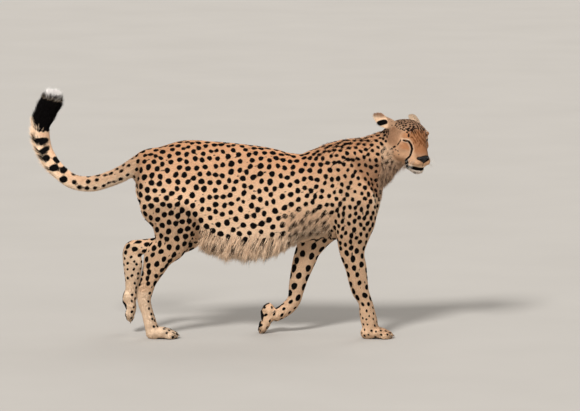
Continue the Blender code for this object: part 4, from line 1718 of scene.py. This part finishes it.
    def _pale(self) -> Array:
        """Find the cream of the underside, chest, chin, lips, eye rims, feet, tail and ears.

        Returns:
            Its share at each vertex.
        """
        skin, normals, fields = self.skin, self.skin.normals, self.skin.fields
        x, _, z = skin.face.T
        trunk, on_trunk, head = skin.within("trunk"), skin.on("trunk"), skin.on("head", "jaw") * 1.0
        chest = rise(normals[:, 0], 0.45, 0.85) * rise(trunk[:, 0], 0.8, 0.95)
        chest *= on_trunk + 0.35 * skin.on("foreleg")
        rims = head * rise(fields["lids"], 0.0026, 0.004) * rise(fields["lids"], 0.009, 0.006)
        from_tear = np.abs(TEAR_LINE.distance(skin.face) - 0.003)
        below_eye = head * np.clip(1.0 - from_tear / 0.005, 0.0, 1.0) * 0.5
        pale = np.maximum.reduce((
            0.9 * rise(-normals[:, 2], 0.15, 0.75) * skin.on("trunk", "tail"),
            0.60 * rise(trunk[:, 2], 0.42, 0.16) * on_trunk,
            0.20 * rise(self._inner(), 0.25, 0.8) * skin.on("foreleg", "hindleg"),
            0.60 * np.maximum(fields["belly"], fields["curtain"]),
            0.55 * np.maximum(fields["throat"], fields["ruff"]),
            0.95 * chest,
            0.60 * head * rise(z, -0.073, -0.08) * rise(x, 0.04, 0.056),
            self._chin(), 0.75 * rims, below_eye * (z > -0.04),
            0.75 * skin.on("hindleg_right_paw", "hindleg_left_paw")))
        tail = np.maximum(pale, 0.30 + 0.65 * rise(skin.tail_out(), -0.1, 0.6))
        pale = np.where(skin.on("tail_tuft"), 1.0, np.where(skin.on(*TAIL_NODES), tail, pale))
        pale = np.maximum(pale, 0.22 * self._crown())
        for side in Side:
            part, facing = ear_part(skin, side)
            shell = 0.12 + rise(part, 0.70, 0.88) * 0.75 + rise(facing, 0.05, -0.2) * 0.5
            pale = np.where(skin.on(f"ear_{side.word}"), np.maximum(shell, 0.5) * self._ear_clear(), pale)
        return pale

    def _warm(self) -> Array:
        """Find the warm tint of back, neck and face.

        Returns:
            Its share at each vertex, before the cream takes its part.
        """
        skin, up = self.skin, self.skin.normals[:, 2]
        body = skin.on("trunk", "neck", "foreleg", "hindleg", "tail")
        return np.maximum.reduce((
            (0.30 * rise(up, 0.2, 0.8) + 0.36 * rise(skin.points[:, 2], 0.56, 0.70)) * body,
            0.40 * rise(skin.within("trunk")[:, 0], 0.86, 1.0) * skin.on("trunk", "neck"),
            0.45 * skin.on("neck") * rise(up, -0.5, 0.2),
            0.85 * self._front(), 0.38 * skin.on("head", "jaw")))

    def _dusk(self) -> Array:
        """Find dusky hair on brow, bridge, crown and ear tops, and painted shade on temples, face and collar.

        Returns:
            Its share at each vertex.
        """
        skin, head = self.skin, self.skin.on("head", "jaw") * 1.0
        x, y, z = skin.face.T
        side = np.abs(y)
        # Temples behind the eyes: painted shade, rippled.
        temple = head * rise(x, 0.016, -0.006) * rise(z, -0.04, -0.012) * rise(z, 0.045, 0.032)
        temple *= 0.86 + 0.16 * np.sin(x * 330.0 + y * 150.0) * np.sin(z * 390.0 + 1.0)
        streaks = 0.5 + 0.5 * np.sin(side * 720.0 + 7.0 * np.sin(z * 70.0 + 60.0 * y))
        streaks *= 0.6 + 0.4 * np.sin(z * 260.0 + y * 340.0)
        middle = head * np.exp(-(y / 0.0042) ** 2) * rise(x, 0.02, 0.03) * rise(x, 0.075, 0.055)
        bridge = head * rise(x, 0.03, 0.05) * np.exp(-((side - 0.01) / 0.0035) ** 2)
        return np.maximum.reduce((
            0.60 * temple, self._brow() * (0.46 + 0.75 * streaks ** 2) * rise(side, 0.046, 0.032),
            # The face's front gets painted shade.
            0.75 * middle * rise(z, -0.02, 0.01), 0.62 * self._crown(), 0.34 * self._front(),
            0.62 * head * rise(x, 0.03, 0.06) * rise(z, -0.064, -0.045) * rise(side, 0.036, 0.024),
            0.55 * skin.on("ear") * (1.0 - self._ear_clear()),
            0.35 * bridge * rise(z, -0.045, -0.02),
            0.80 * skin.on("ear") * rise(z, 0.058, 0.068) * rise(z, 0.100, 0.088),
            # Painted shade under the jaw, on the collar.
            0.45 * skin.on("head", "neck", "jaw") * rise(z, -0.085, -0.11) * rise(x, 0.02, -0.01)))

    def _brow_streaks(self) -> Array:
        """Draw the thin broken streaks that run down the forehead.

        Returns:
            How dark they make each vertex.
        """
        _, y, z = self.skin.face.T
        best = np.zeros(len(z))
        for number, middle in enumerate((0.0, 0.0065, 0.013, 0.02, 0.027)):
            course = middle + 0.0016 * np.sin(z * 210.0 + 2.1 * number)
            line = np.exp(-((np.abs(y) - course) / 0.0017) ** 2)
            line *= rise(np.sin(z * (240.0 + 30.0 * number) + 1.7 * number), -0.5, 0.3)
            best = np.maximum(best, line)
        return 0.75 * best


# The way that the back of each ear faces, in the head's frame.
EAR_BACKS = {Side.RIGHT: (0.7, -0.1, 0.7), Side.LEFT: (0.2, 0.5, 0.84)}


def ear_part(skin: Skin, side: Side) -> tuple[Array, Array]:
    """Find where each vertex would lie on an ear.

    Args:
        skin: The skin.
        side: The ear's side.

    Returns:
        How far along the ear each vertex lies, 0 at its root and 1 at its tip, and how much it faces back.
    """
    low, high = corners(f"ear_{side.word}")
    root = skin.head.ear_root(side)
    axis = ((low + high) / 2 - root) * 2.0
    part = (skin.points - root) @ axis / (axis @ axis)
    return part, skin.normals @ (skin.head.turn @ unit(np.array(EAR_BACKS[side])))


# ---- the coat


class Tufts:
    """The node tree that grows tufts of hair on a skin, each a thin three-sided spike or lock.

    Roots are strewn over the skin by its "thick" field; a tuft points along "flow", lifted towards the
    surface's normal, and is as long as "hair" says. Its root keeps the skin's markings, and its own patch
    of the skin's unwrap becomes the map OFBake.
    """

    INPUTS = (
        ("Density", 1.0e5), ("Width", 0.0014), ("Thickness", 0.45), ("Lift", 0.3), ("Ruffle", 0.15),
        ("Hang", 0.0), ("Sag", 0.0), ("Wave", 0.0), ("Bulge", 0.0), ("Patch", 0.003), ("Print", 1.0),
        ("Fade", 0.0))

    def __init__(self) -> None:
        """Build the tree once; every part of the coat uses it with its own sizes."""
        self.group = bpy.data.node_groups.new("tufts", "GeometryNodeTree")
        self.keys: dict[str, str] = {}
        face = self.group.interface
        face.new_socket("Geometry", in_out="INPUT", socket_type="NodeSocketGeometry")
        face.new_socket("Geometry", in_out="OUTPUT", socket_type="NodeSocketGeometry")
        for name, value in self.INPUTS:
            socket = face.new_socket(name, in_out="INPUT", socket_type="NodeSocketFloat")
            socket.default_value = value
            self.keys[name] = socket.identifier
        for name, kind in (("Seed", "Int"), ("Segments", "Int"), ("Finish", "Material")):
            socket = face.new_socket(name, in_out="INPUT", socket_type=f"NodeSocket{kind}")
            self.keys[name] = socket.identifier
        self.tree = Tree(self.group.nodes, self.group.links)
        self.inputs = self.tree.add("NodeGroupInput")
        grown = self._grow(self._roots())
        self.tree.add("NodeGroupOutput", None, {0: grown})

    def _given(self, name: str) -> Signal:
        """One of the tree's named inputs."""
        return Signal(self.tree, self.inputs.outputs[name])

    def _kept(self, name: str, kind: str = "FLOAT") -> Signal:
        """A field kept on the skin."""
        return self.tree.signal("GeometryNodeInputNamedAttribute", {"data_type": kind}, {"Name": name})

    def _vector(self, operation: str, first: object, second: object = None) -> Signal:
        """Add one Vector Math node.

        Args:
            operation: What it does.
            first: Its first input.
            second: Its second input or its scale.

        Returns:
            What it gives.
        """
        inputs = {0: first}
        if second is not None:
            inputs["Scale" if operation == "SCALE" else 1] = second
        return self.tree.signal("ShaderNodeVectorMath", {"operation": operation}, inputs)

    def _chance(self, low: object, high: object, offset: int, kind: str = "FLOAT") -> Signal:
        """Draw a random value for each root.

        Args:
            low: The least value.
            high: The greatest value.
            offset: Keeps this draw apart from the others.
            kind: FLOAT or FLOAT_VECTOR.

        Returns:
            The values.
        """
        node = self.tree.add("FunctionNodeRandomValue", {"data_type": kind}, {
            "Seed": self._given("Seed") + offset})
        ends = [socket for socket in node.inputs if socket.name in ("Min", "Max") and socket.enabled]
        for socket, value in zip(ends, (low, high)):
            socket.default_value = value
        return Signal(self.tree, next(socket for socket in node.outputs if socket.enabled))

    def _store(self, geometry: Signal, name: str, value: Signal, domain: str = "POINT",
               kind: str = "FLOAT") -> Signal:
        """Keep a value on the tufts."""
        return self.tree.signal("GeometryNodeStoreNamedAttribute", {"data_type": kind, "domain": domain}, {
            "Geometry": geometry, "Name": name, "Value": value})

    def _roots(self) -> Node:
        """Strew the roots."""
        return self.tree.add("GeometryNodeDistributePointsOnFaces", {"distribute_method": "RANDOM"}, {
            "Mesh": self._given("Geometry"), "Density": self._kept("thick") * self._given("Density"),
            "Seed": self._given("Seed")})

    def _spike(self) -> Signal:
        """Make one tuft: a three-sided cone of length 1, fuller in its middle, that knows its own places.

        Returns:
            The tuft.
        """
        tree = self.tree
        cone = tree.signal("GeometryNodeMeshCone", {"fill_type": "NONE"}, {
            "Vertices": 3, "Side Segments": self._given("Segments"), "Radius Top": 0.0,
            "Radius Bottom": 1.0, "Depth": 1.0})
        place = tree.add("ShaderNodeSeparateXYZ", None, {0: tree.signal("GeometryNodeInputPosition")})
        x, y, z = (Signal(tree, socket) for socket in place.outputs)
        full = self._given("Bulge") * z + 1.0
        turned = tree.signal("ShaderNodeCombineXYZ", None, {0: (0.0 - y) * full, 1: x * full, 2: z})
        shaped = tree.signal("GeometryNodeSetPosition", None, {"Geometry": cone, "Position": turned})
        return self._store(self._store(shaped, "along", z), "across", 0.0 - y)

    def _grow(self, roots: Node) -> Signal:
        """Set a tuft on every root, turn it into plain mesh and bend it.

        Args:
            roots: The node that strews the roots.

        Returns:
            The finished tufts.
        """
        tree = self.tree
        normal = Signal(tree, roots.outputs["Normal"])
        stray = self._chance((-1.0,) * 3, (1.0,) * 3, 11, "FLOAT_VECTOR")
        stray = self._vector("SCALE", stray, self._given("Ruffle"))
        turn = tree.signal("FunctionNodeAlignRotationToVector", {"axis": "Z"}, {
            "Vector": self._vector("NORMALIZE", self._vector("ADD", self._lie(normal), stray))})
        turn = tree.signal("FunctionNodeAlignRotationToVector", {"axis": "Y", "pivot_axis": "Z"}, {
            "Rotation": turn, "Vector": normal})
        width = self._given("Width") * self._chance(0.7, 1.3, 23)
        length = self._kept("hair") * self._chance(0.72, 1.22, 37)
        flat = width * self._given("Thickness")
        scale = tree.signal("ShaderNodeCombineXYZ", None, {0: width, 1: flat, 2: length})
        tufts = tree.signal("GeometryNodeInstanceOnPoints", None, {
            "Points": Signal(tree, roots.outputs["Points"]), "Instance": self._spike(),
            "Rotation": turn, "Scale": scale})
        tufts = self._store(tufts, "tone", self._chance(0.0, 1.0, 53), "INSTANCE")
        tufts = tree.signal("GeometryNodeRealizeInstances", None, {"Geometry": tufts})
        tufts = self._print(self._bend(tufts))
        along, across, patch = self._kept("along"), self._kept("across"), self._given("Patch")
        own = tree.signal("ShaderNodeCombineXYZ", None, {0: across * patch * 0.5, 1: (along - 0.5) * patch})
        home = self._vector("ADD", self._kept("unwrap", "FLOAT_VECTOR"), own)
        tufts = self._store(tufts, "OFBake", home, "CORNER", "FLOAT2")
        tufts = tree.signal("GeometryNodeSetShadeSmooth", None, {"Geometry": tufts})
        return tree.signal("GeometryNodeSetMaterial", None, {
            "Geometry": tufts, "Material": self._given("Finish")})

    def _lie(self, normal: Signal) -> Signal:
        """Find the way tufts point: along the skin's flow, drawn down by Hang and raised by Lift.

        Args:
            normal: The skin's normal at each root.

        Returns:
            The way at each root.
        """
        hang = self._given("Hang")
        lie = self._vector("SCALE", self._kept("flow", "FLOAT_VECTOR"), 1.0 - hang)
        lie = self._vector("ADD", lie, self._vector("SCALE", (0.0, 0.0, -1.0), hang))
        return self._vector("ADD", lie, self._vector("SCALE", normal, self._given("Lift")))

    def _bend(self, tufts: Signal) -> Signal:
        """Let tufts sag and sway, neighbours together, more towards their tips, and none below the floor.

        Args:
            tufts: The tufts.

        Returns:
            The tufts bent.
        """
        tree = self.tree
        along = self._kept("along")
        reach = along * along * self._kept("hair")
        place = tree.signal("GeometryNodeInputPosition")
        sway = tree.signal("ShaderNodeTexNoise", None, {
            "Vector": place, "Scale": 38.0, "Detail": 1.0}, "Color")
        sway = self._vector("SUBTRACT", sway, (0.5, 0.5, 0.5))
        sway = self._vector("SCALE", sway, reach * self._given("Wave"))
        sag = tree.signal("ShaderNodeCombineXYZ", None, {2: 0.0 - reach * self._given("Sag")})
        place = self._vector("ADD", place, self._vector("ADD", sway, sag))
        place = self._vector("MAXIMUM", place, (-9.0, -9.0, FLOOR_CLEARANCE))
        return tree.signal("GeometryNodeSetPosition", None, {"Geometry": tufts, "Position": place})

    def _print(self, tufts: Signal) -> Signal:
        """Let short hair carry the marking that lies under each of its points, long hair that of its root.

        Args:
            tufts: The tufts.

        Returns:
            The tufts marked.
        """
        stray = self._vector("SCALE", self._kept("flow", "FLOAT_VECTOR"), (self._kept("tone") - 0.5) * 0.0024)
        place = self._vector("ADD", self.tree.signal("GeometryNodeInputPosition"), stray)
        under = self.tree.signal("GeometryNodeSampleNearestSurface", {"data_type": "FLOAT"}, {
            "Mesh": self._given("Geometry"), "Value": self._kept("spot"), "Sample Position": place})
        root = self._kept("spot") + self._kept("along") * self._given("Fade")
        share = self._given("Print")
        return self._store(tufts, "spot", under * share + root * (1.0 - share))


@dataclass(frozen=True)
class Growth:
    """One piece of the coat: where it grows and how its tufts are shaped, in metres and radians."""

    name: str
    nodes: tuple[str, ...]
    density: float
    width: float
    mask: str = ""
    side: Side | None = None
    lift: float = 0.30
    ruffle: float = 0.16
    segments: int = 1
    hang: float = 0.0
    sag: float = 0.0
    wave: float = 0.0
    bulge: float = 0.0
    hair: float = 0.0
    drop: str = ""
    fade: float = 0.0


GROWTHS = (
    *(Growth(f"coat_trunk_{side.word}", ("trunk",), 1.60e5, 0.0015, side=side, lift=0.24, ruffle=0.13)
      for side in Side),
    Growth("coat_neck", ("neck",), 2.6e5, 0.0011, lift=0.26),
    Growth("coat_head", ("head", "jaw"), 5.0e5, 0.0008, lift=0.20),
    Growth("coat_ears", ("ear",), 9.0e5, 0.0006, ruffle=0.24, mask="ears"),
    *(Growth(f"coat_{leg}_{side.word}", (f"{leg}_{side.word}",), density, 0.0012, lift=0.20, ruffle=0.13)
      for leg, density in (("foreleg", 2.1e5), ("hindleg", 2.0e5)) for side in Side),
    Growth("coat_tail", ("tail",), 2.1e5, 0.0014, lift=0.32, ruffle=0.18),
    Growth("belly_fringe", ("trunk",), 1.4e5, 0.001, mask="curtain", drop="drop", lift=0.05, ruffle=0.20,
           segments=3, hang=0.66, sag=0.12, wave=0.60, bulge=0.9, fade=0.005),
    Growth("elbow_fringe", ("trunk",), 1.1e5, 0.0009, mask="elbow", hair=0.03, lift=0.08, ruffle=0.13,
           segments=3, hang=0.35, sag=0.20, wave=0.4, bulge=0.9, fade=0.003),
    Growth("ruff", ("head", "neck"), 1.45e5, 0.0008, mask="ruff", hair=0.015, ruffle=0.36, segments=3,
           hang=0.12, sag=0.20, wave=1.4, bulge=0.8, fade=0.004),
    Growth("throat_hair", ("neck", "head", "jaw"), 1.2e5, 0.0008, mask="throat", drop="beard", lift=0.28,
           ruffle=0.36, segments=3, hang=0.24, sag=0.25, wave=1.4, bulge=0.8, fade=0.003),
    Growth("chin_hair", ("jaw",), 4.5e5, 0.0007, mask="chin", hair=0.009, lift=0.35, ruffle=0.22, hang=0.20),
    Growth("nape_mane", ("neck", "trunk"), 9.0e4, 0.0011, mask="nape", hair=0.013, lift=0.50, ruffle=0.22,
           segments=3, wave=0.5, bulge=0.8),
    Growth("tail_fringe", ("tail_middle", "tail_base"), 1.2e5, 0.0013, mask="fringe", hair=0.034, lift=0.45,
           ruffle=0.22, segments=3, wave=0.6, bulge=0.9),
    Growth("tail_plume", ("tail_tuft",), 1.7e5, 0.0015, mask="tuft", hair=0.036, lift=0.36, ruffle=0.20,
           segments=3, wave=0.5, bulge=0.9),
)


@dataclass
class Coat:
    """The whole coat, piece by piece, grown on the finished skin."""

    skin: Skin
    tufts: Tufts
    finish: Material
    seed: int = 300
    seed_step: int = 17

    def grow(self) -> None:
        """Grow every piece and let it ride on the body."""
        for number, growth in enumerate(GROWTHS):
            fit(self._piece(growth, self.seed + self.seed_step * number), "coat")

    def _thick(self, growth: Growth) -> Array:
        """Find how densely a piece grows.

        Args:
            growth: The piece.

        Returns:
            Its share at each vertex, 0 to 1.
        """
        skin = self.skin
        here = skin.on(*growth.nodes) * 1.0
        if growth.mask:
            here = here * skin.fields[growth.mask]
        if growth.side is not None:
            here = here * ((skin.points[:, 1] - middle_of_trunk()) * growth.side > 0.0)
        bare = np.maximum(rise(skin.fields["sole"], 0.1, 0.5), rise(skin.fields["lids"], 0.003, 0.0012))
        return here * (1.0 - np.maximum(bare, skin.fields["bare"]))

    def _piece(self, growth: Growth, seed: int) -> Item:
        """Grow one piece of the coat as plain mesh.

        Args:
            growth: The piece.
            seed: The seed of its random draws.

        Returns:
            The finished piece.
        """
        mesh = self.skin.item.data.copy()
        mesh.uv_layers[0].name = "unwrap"
        set_field(mesh, "thick", self._thick(growth))
        if growth.drop:
            set_field(mesh, "hair", self.skin.fields[growth.drop])
        elif growth.hair:
            set_field(mesh, "hair", growth.hair * (0.45 + 0.55 * self.skin.fields[growth.mask]))
        piece = new_object(growth.name, mesh)
        modifier = piece.modifiers.new("tufts", "NODES")
        modifier.node_group = self.tufts.group
        values = {
            "Density": growth.density, "Width": growth.width, "Lift": growth.lift, "Ruffle": growth.ruffle,
            "Hang": growth.hang, "Sag": growth.sag, "Wave": growth.wave, "Bulge": growth.bulge,
            "Fade": growth.fade, "Print": 0.0 if growth.hair or growth.drop else 1.0, "Seed": seed,
            "Segments": growth.segments, "Finish": self.finish}
        for name, value in values.items():
            modifier[self.tufts.keys[name]] = value
        grown = baked(piece)
        kept = {"spot", "pale", "warm", "dusk", "snow", "tip", "tone", "along", "OFBake"}
        spare = [layer.name for layer in grown.attributes if not (layer.is_required or layer.is_internal)]
        for name in spare:
            if name not in kept:
                grown.attributes.remove(grown.attributes[name])
        grown.materials.clear()
        grown.materials.append(self.finish)
        return piece


# ---- eyes, nose, claws, whiskers


def ring_tube(form: Form, layer: Layer, course: list[Vector], radii: list[float],
              sides: int) -> None:
    """Add a tube along a course, closed by its root ring and pointed at its tip.

    Args:
        form: The mesh to add to.
        layer: The vertex layer that keeps how far along the tube a point lies.
        course: The tube's middle points; its tip is the last.
        radii: The tube's radius at each point but the last.
        sides: How many sides the tube has.
    """
    rings = []
    for index, middle in enumerate(course[:-1]):
        ahead = (course[index + 1] - course[max(index - 1, 0)]).normalized()
        side = ahead.orthogonal() if index == 0 else side - ahead * side.dot(ahead)
        side.normalize()
        other = ahead.cross(side)
        ring = []
        for turn in range(sides):
            angle = 2.0 * math.pi * turn / sides
            arm = side * math.cos(angle) + other * math.sin(angle)
            vertex = form.verts.new(middle + arm * radii[index])
            vertex[layer] = index / (len(course) - 1)
            ring.append(vertex)
        rings.append(ring)
    tip = form.verts.new(course[-1])
    tip[layer] = 1.0
    for first, second in zip(rings, rings[1:]):
        for turn in range(sides):
            after = (turn + 1) % sides
            form.faces.new((first[turn], first[after], second[after], second[turn]))
    for turn in range(sides):
        form.faces.new((rings[-1][turn], rings[-1][(turn + 1) % sides], tip))
    form.faces.new(list(reversed(rings[0])))


@dataclass
class Eyes:
    """Two wet eyes behind narrowed lids."""

    head: HeadFrame
    finish: EyeFinish = EyeFinish()
    cornea: float = 0.001
    cornea_edge: float = 0.60
    forward: float = 0.35
    lowered: float = 0.05
    inset: float = 0.0004

    def build(self) -> None:
        """Make both eyes, in the places of the solids' eyes."""
        material = self.finish.material()
        for side in Side:
            x, y, z = EYE_OUTWARD
            gaze = Vector((x + self.forward, y * side, z - self.lowered)).normalized()
            form = bmesh.new()
            ring = form.verts.layers.float.new("ring")
            bmesh.ops.create_uvsphere(form, u_segments=64, v_segments=48, radius=1.0)
            turn = gaze.to_track_quat("Z", "Y").to_matrix()
            for vertex in form.verts:
                angle = math.acos(max(-1.0, min(1.0, vertex.co.z)))
                swell = self.cornea * max(0.0, 1.0 - (angle / self.cornea_edge) ** 2)
                vertex[ring] = angle
                radius = self.head.eye_radius - self.inset - self.cornea * 0.3 + swell
                vertex.co = self.head.place @ (self.head.eyes[side] + turn @ vertex.co * radius)
            fit(finished(form, f"eye_{side.word}_ball", material), "eye", f"eye_{side.word}")


@dataclass
class NosePad:
    """The leathery pad: an upside-down triangle with comma nostrils and a groove down its middle."""

    head: HeadFrame
    finish: NoseFinish = NoseFinish()
    voxel: float = 0.0009
    rounds: int = 6

    def build(self) -> None:
        """Make the pad in the place of the solids' nose."""
        form = bmesh.new()
        form.from_mesh(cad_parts["nose"].data)
        bmesh.ops.remove_doubles(form, verts=form.verts[:], dist=MERGE)
        material = self.finish.material()
        piece = finished(form, "nose_pad", material)
        mesh = remeshed(piece, self.voxel)
        points, edges = points_of(mesh), edges_of(mesh)
        for _ in range(self.rounds):
            points = without_facets(points, edges)
        set_points(mesh, self.head.world(self._shaped(self.head.local(points))))
        mesh.materials.clear()
        mesh.materials.append(material)
        mesh.shade_smooth()
        fit(piece, "nose", "nose")

    def _shaped(self, local: Array) -> Array:
        """Narrow the pad downwards and press nostrils and groove into it.

        Args:
            local: The pad's vertices in the head's frame.

        Returns:
            The vertices moved.
        """
        middle = (local.min(axis=0) + local.max(axis=0)) / 2
        half = (local.max(axis=0) - local.min(axis=0)) / 2
        across = local[:, 1] / half[1]
        height = (local[:, 2] - middle[2]) / half[2]
        ahead = rise((local[:, 0] - middle[0]) / half[0], -0.6, 0.4)
        local[:, 1] *= 1.0 - NOSE_TAPER * rise(height, 0.15, -0.9)
        for side in Side:
            hole = np.hypot((across - 0.46 * side) / 0.24, (height + 0.02) / 0.30)
            slit = np.hypot((across - 0.74 * side) / 0.22, (height - 0.03) / 0.12)
            wing = np.hypot((across - 0.52 * side) / 0.42, (height + 0.02) / 0.52)
            local[:, 0] -= (0.0046 * np.exp(-hole ** 2) + 0.0026 * np.exp(-slit ** 2)) * ahead
            local[:, 0] += 0.0014 * np.exp(-((wing - 1.0) / 0.25) ** 2) * ahead
        local[:, 0] -= 0.0014 * np.exp(-(across / 0.06) ** 2) * ahead * rise(height, 0.75, 0.2)
        return local


@dataclass
class Claws:
    """Blunt, half-bared claws: four on each foot and a dew claw inside each foreleg."""

    finish: HornFinish = HornFinish()
    length: float = 0.017
    radius: float = 0.003
    rooted: float = 0.008
    hook: float = 0.42
    rings: int = 7
    sides: int = 10
    dew: Vec = (-0.014, 0.03, 0.014)

    def _claw(self, form: Form, layer: Layer, place: Matrix, root: Vector,
              ahead: Vector) -> None:
        """Add one claw that runs ahead from its root and hooks down.

        Args:
            form: The mesh to add to.
            layer: The vertex layer that keeps how far along the claw a point lies.
            place: The foot's frame.
            root: The claw's root in that frame.
            ahead: The way it runs.
        """
        parts = [index / self.rings for index in range(self.rings + 1)]
        hooks = [Vector((0.0, 0.0, -self.length * self.hook * part * part)) for part in parts]
        course = [place @ (root + ahead * (self.length * part) + hook) for part, hook in zip(parts, hooks)]
        radii = [self.radius * (1.0 - 0.80 * part ** 1.4) for part in parts]
        ring_tube(form, layer, course, radii, self.sides)

    def build(self, skin: Skin) -> None:
        """Make the claws of each foot as one piece, each rooted in the foremost skin of its toe.

        Args:
            skin: The finished skin.
        """
        material = self.finish.material()
        for foot in FEET:
            place = foot.place()
            form = bmesh.new()
            layer = form.verts.layers.float.new("along")
            local = foot.local(skin.points)
            mine = skin.on(foot.leg) & (lengths(local) < 0.12)
            for lateral, _ in TOES:
                toe = local[mine & (np.abs(local[:, 1] - lateral) < 0.006)]
                foremost = toe[np.argmax(toe[:, 0])]
                root = Vector((foremost[0] - self.rooted, lateral, foremost[2] + 0.001))
                self._claw(form, layer, place, root, Vector((1.0, 0.10 * lateral / 0.028, 0.0)))
            if foot.leg.startswith("foreleg"):
                inside = 1.0 if foot.leg.endswith("right") else -1.0
                root = Vector((self.dew[0], self.dew[1] * inside, self.dew[2]))
                self._claw(form, layer, place, root, Vector((0.8, 0.25 * inside, -0.3)))
            bmesh.ops.recalc_face_normals(form, faces=form.faces[:])
            piece = finished(form, f"claws_{foot.leg}", material)
            points = points_of(piece.data)
            points[:, 2] = np.maximum(points[:, 2], FLOOR_CLEARANCE)
            set_points(piece.data, points)
            fit(piece)


@dataclass
class Whiskers:
    """Fine whiskers from the rows of small spots on each pad, and a few over each eye."""

    head: HeadFrame
    skin: Skin
    random: np.random.Generator
    finish: WhiskerFinish = WhiskerFinish()
    length: float = 0.036
    radius: float = 0.00032
    rings: int = 6

    def build(self) -> None:
        """Make all whiskers as one piece."""
        face = self.skin.face
        tree = search(face)
        form = bmesh.new()
        layer = form.verts.layers.float.new("along")
        for side in Side:
            pad, brow = Vector((0.05, 1.0 * side, -0.42)), Vector((0.55, 0.35 * side, 0.45))
            roots = [((x, 0.03 * side, z), pad, 1.0) for x, z in whisker_places()]
            roots += [((x, 0.036 * side, 0.036), brow, 0.6) for x in (0.022, 0.027, 0.032)]
            for root, ahead, size in roots:
                self._whisker(form, layer, face[tree.find(root)[1]], ahead, size)
        bmesh.ops.recalc_face_normals(form, faces=form.faces[:])
        fit(finished(form, "whiskers", self.finish.material()))

    def _whisker(self, form: Form, layer: Layer, root: Array, ahead: Vector,
                 size: float) -> None:
        """Add one whisker, drooping a little.

        Args:
            form: The mesh to add to.
            layer: The vertex layer that keeps how far along the whisker a point lies.
            root: Its root in the head's frame.
            ahead: The way it grows.
            size: Its length as a share of the longest.
        """
        ahead = (ahead + Vector(self.random.normal(0.0, 0.14, 3))).normalized()
        length = self.length * size * float(self.random.uniform(0.7, 1.1))
        course, radii = [], []
        for index in range(self.rings + 1):
            part = index / self.rings
            point = Vector(root) + ahead * (length * part)
            drop = Vector((0.0, 0.0, -0.22 * length * part * part))
            course.append(self.head.place @ point + drop)
            radii.append(self.radius * (1.0 - 0.7 * part))
        ring_tube(form, layer, course, radii, 4)


# ---- studio


@dataclass(frozen=True)
class Studio:
    """A plain pale floor, soft light, and a far camera that looks a little down."""

    aim: Vec = (0.2405, 0.0209, 0.526)
    elevation: float = math.radians(7.0)
    distance: float = 20.0
    width: float = 2.32
    sensor: float = 36.0
    floor_size: float = 160.0
    floor_tint: Colour = srgb(176, 171, 164)
    sky: Colour = srgb(236, 234, 232)
    sky_strength: float = 0.68

    def build(self) -> None:
        """Set up floor, light and camera."""
        self._floor()
        self._light()
        self._camera()

    def _floor(self) -> None:
        """Lay the floor at the soles' level."""
        form = bmesh.new()
        bmesh.ops.create_grid(form, x_segments=1, y_segments=1, size=self.floor_size / 2)
        mesh = bpy.data.meshes.new("floor")
        form.to_mesh(mesh)
        form.free()
        material, tree, shader = new_material("floor", {"Roughness": 0.9, "Specular IOR Level": 0.1})
        soft = tree.mix(self.floor_tint, srgb(184, 179, 172), tree.noise(1.5, 2.0))
        tree.links.new(soft.socket, shader.inputs["Base Color"])
        new_object("floor", mesh, material)

    def _light(self) -> None:
        """One broad high key from the viewer's side, a weak one behind, and an even sky."""
        world = bpy.data.worlds.new("sky")
        world.use_nodes = True
        background = world.node_tree.nodes["Background"]
        background.inputs["Color"].default_value = self.sky
        background.inputs["Strength"].default_value = self.sky_strength
        bpy.context.scene.world = world
        for name, way, energy, angle in (
                ("key", (0.38, 0.85, -0.72), 3.45, 12.0), ("rim", (-0.5, -0.9, -0.9), 0.5, 30.0)):
            lamp = bpy.data.lights.new(name, "SUN")
            lamp.energy = energy
            lamp.angle = math.radians(angle)
            light = bpy.data.objects.new(name, lamp)
            light.rotation_euler = Vector(way).to_track_quat("-Z", "Y").to_euler()
            bpy.context.scene.collection.objects.link(light)
        bpy.context.scene.view_settings.view_transform = "Standard"

    def _camera(self) -> None:
        """Look at the right side, a little down, from far away."""
        lens = bpy.data.cameras.new("camera")
        lens.sensor_width = self.sensor
        lens.lens = self.sensor * self.distance / self.width
        lens.clip_end = 400.0
        camera = bpy.data.objects.new("camera", lens)
        view = Vector((0.0, math.cos(self.elevation), -math.sin(self.elevation)))
        camera.location = Vector(self.aim) - view * self.distance
        camera.rotation_euler = view.to_track_quat("-Z", "Y").to_euler()
        bpy.context.scene.collection.objects.link(camera)
        bpy.context.scene.camera = camera


def main() -> None:
    """Build the cheetah's looks piece by piece."""
    logging.basicConfig(level=logging.INFO, format="%(name)s: %(message)s")
    head = HeadFrame()
    skin = Skin(head)
    skin.build()
    random = np.random.default_rng(SEED)
    Markings(skin, random).paint()
    finish = CoatFinish()
    skin.finish(finish.material(False))
    Coat(skin, Tufts(), finish.material(True)).grow()
    Eyes(head).build()
    NosePad(head).build()
    Claws().build(skin)
    Whiskers(head, skin, random).build()
    Studio().build()


if __name__ == "__main__":
    main()
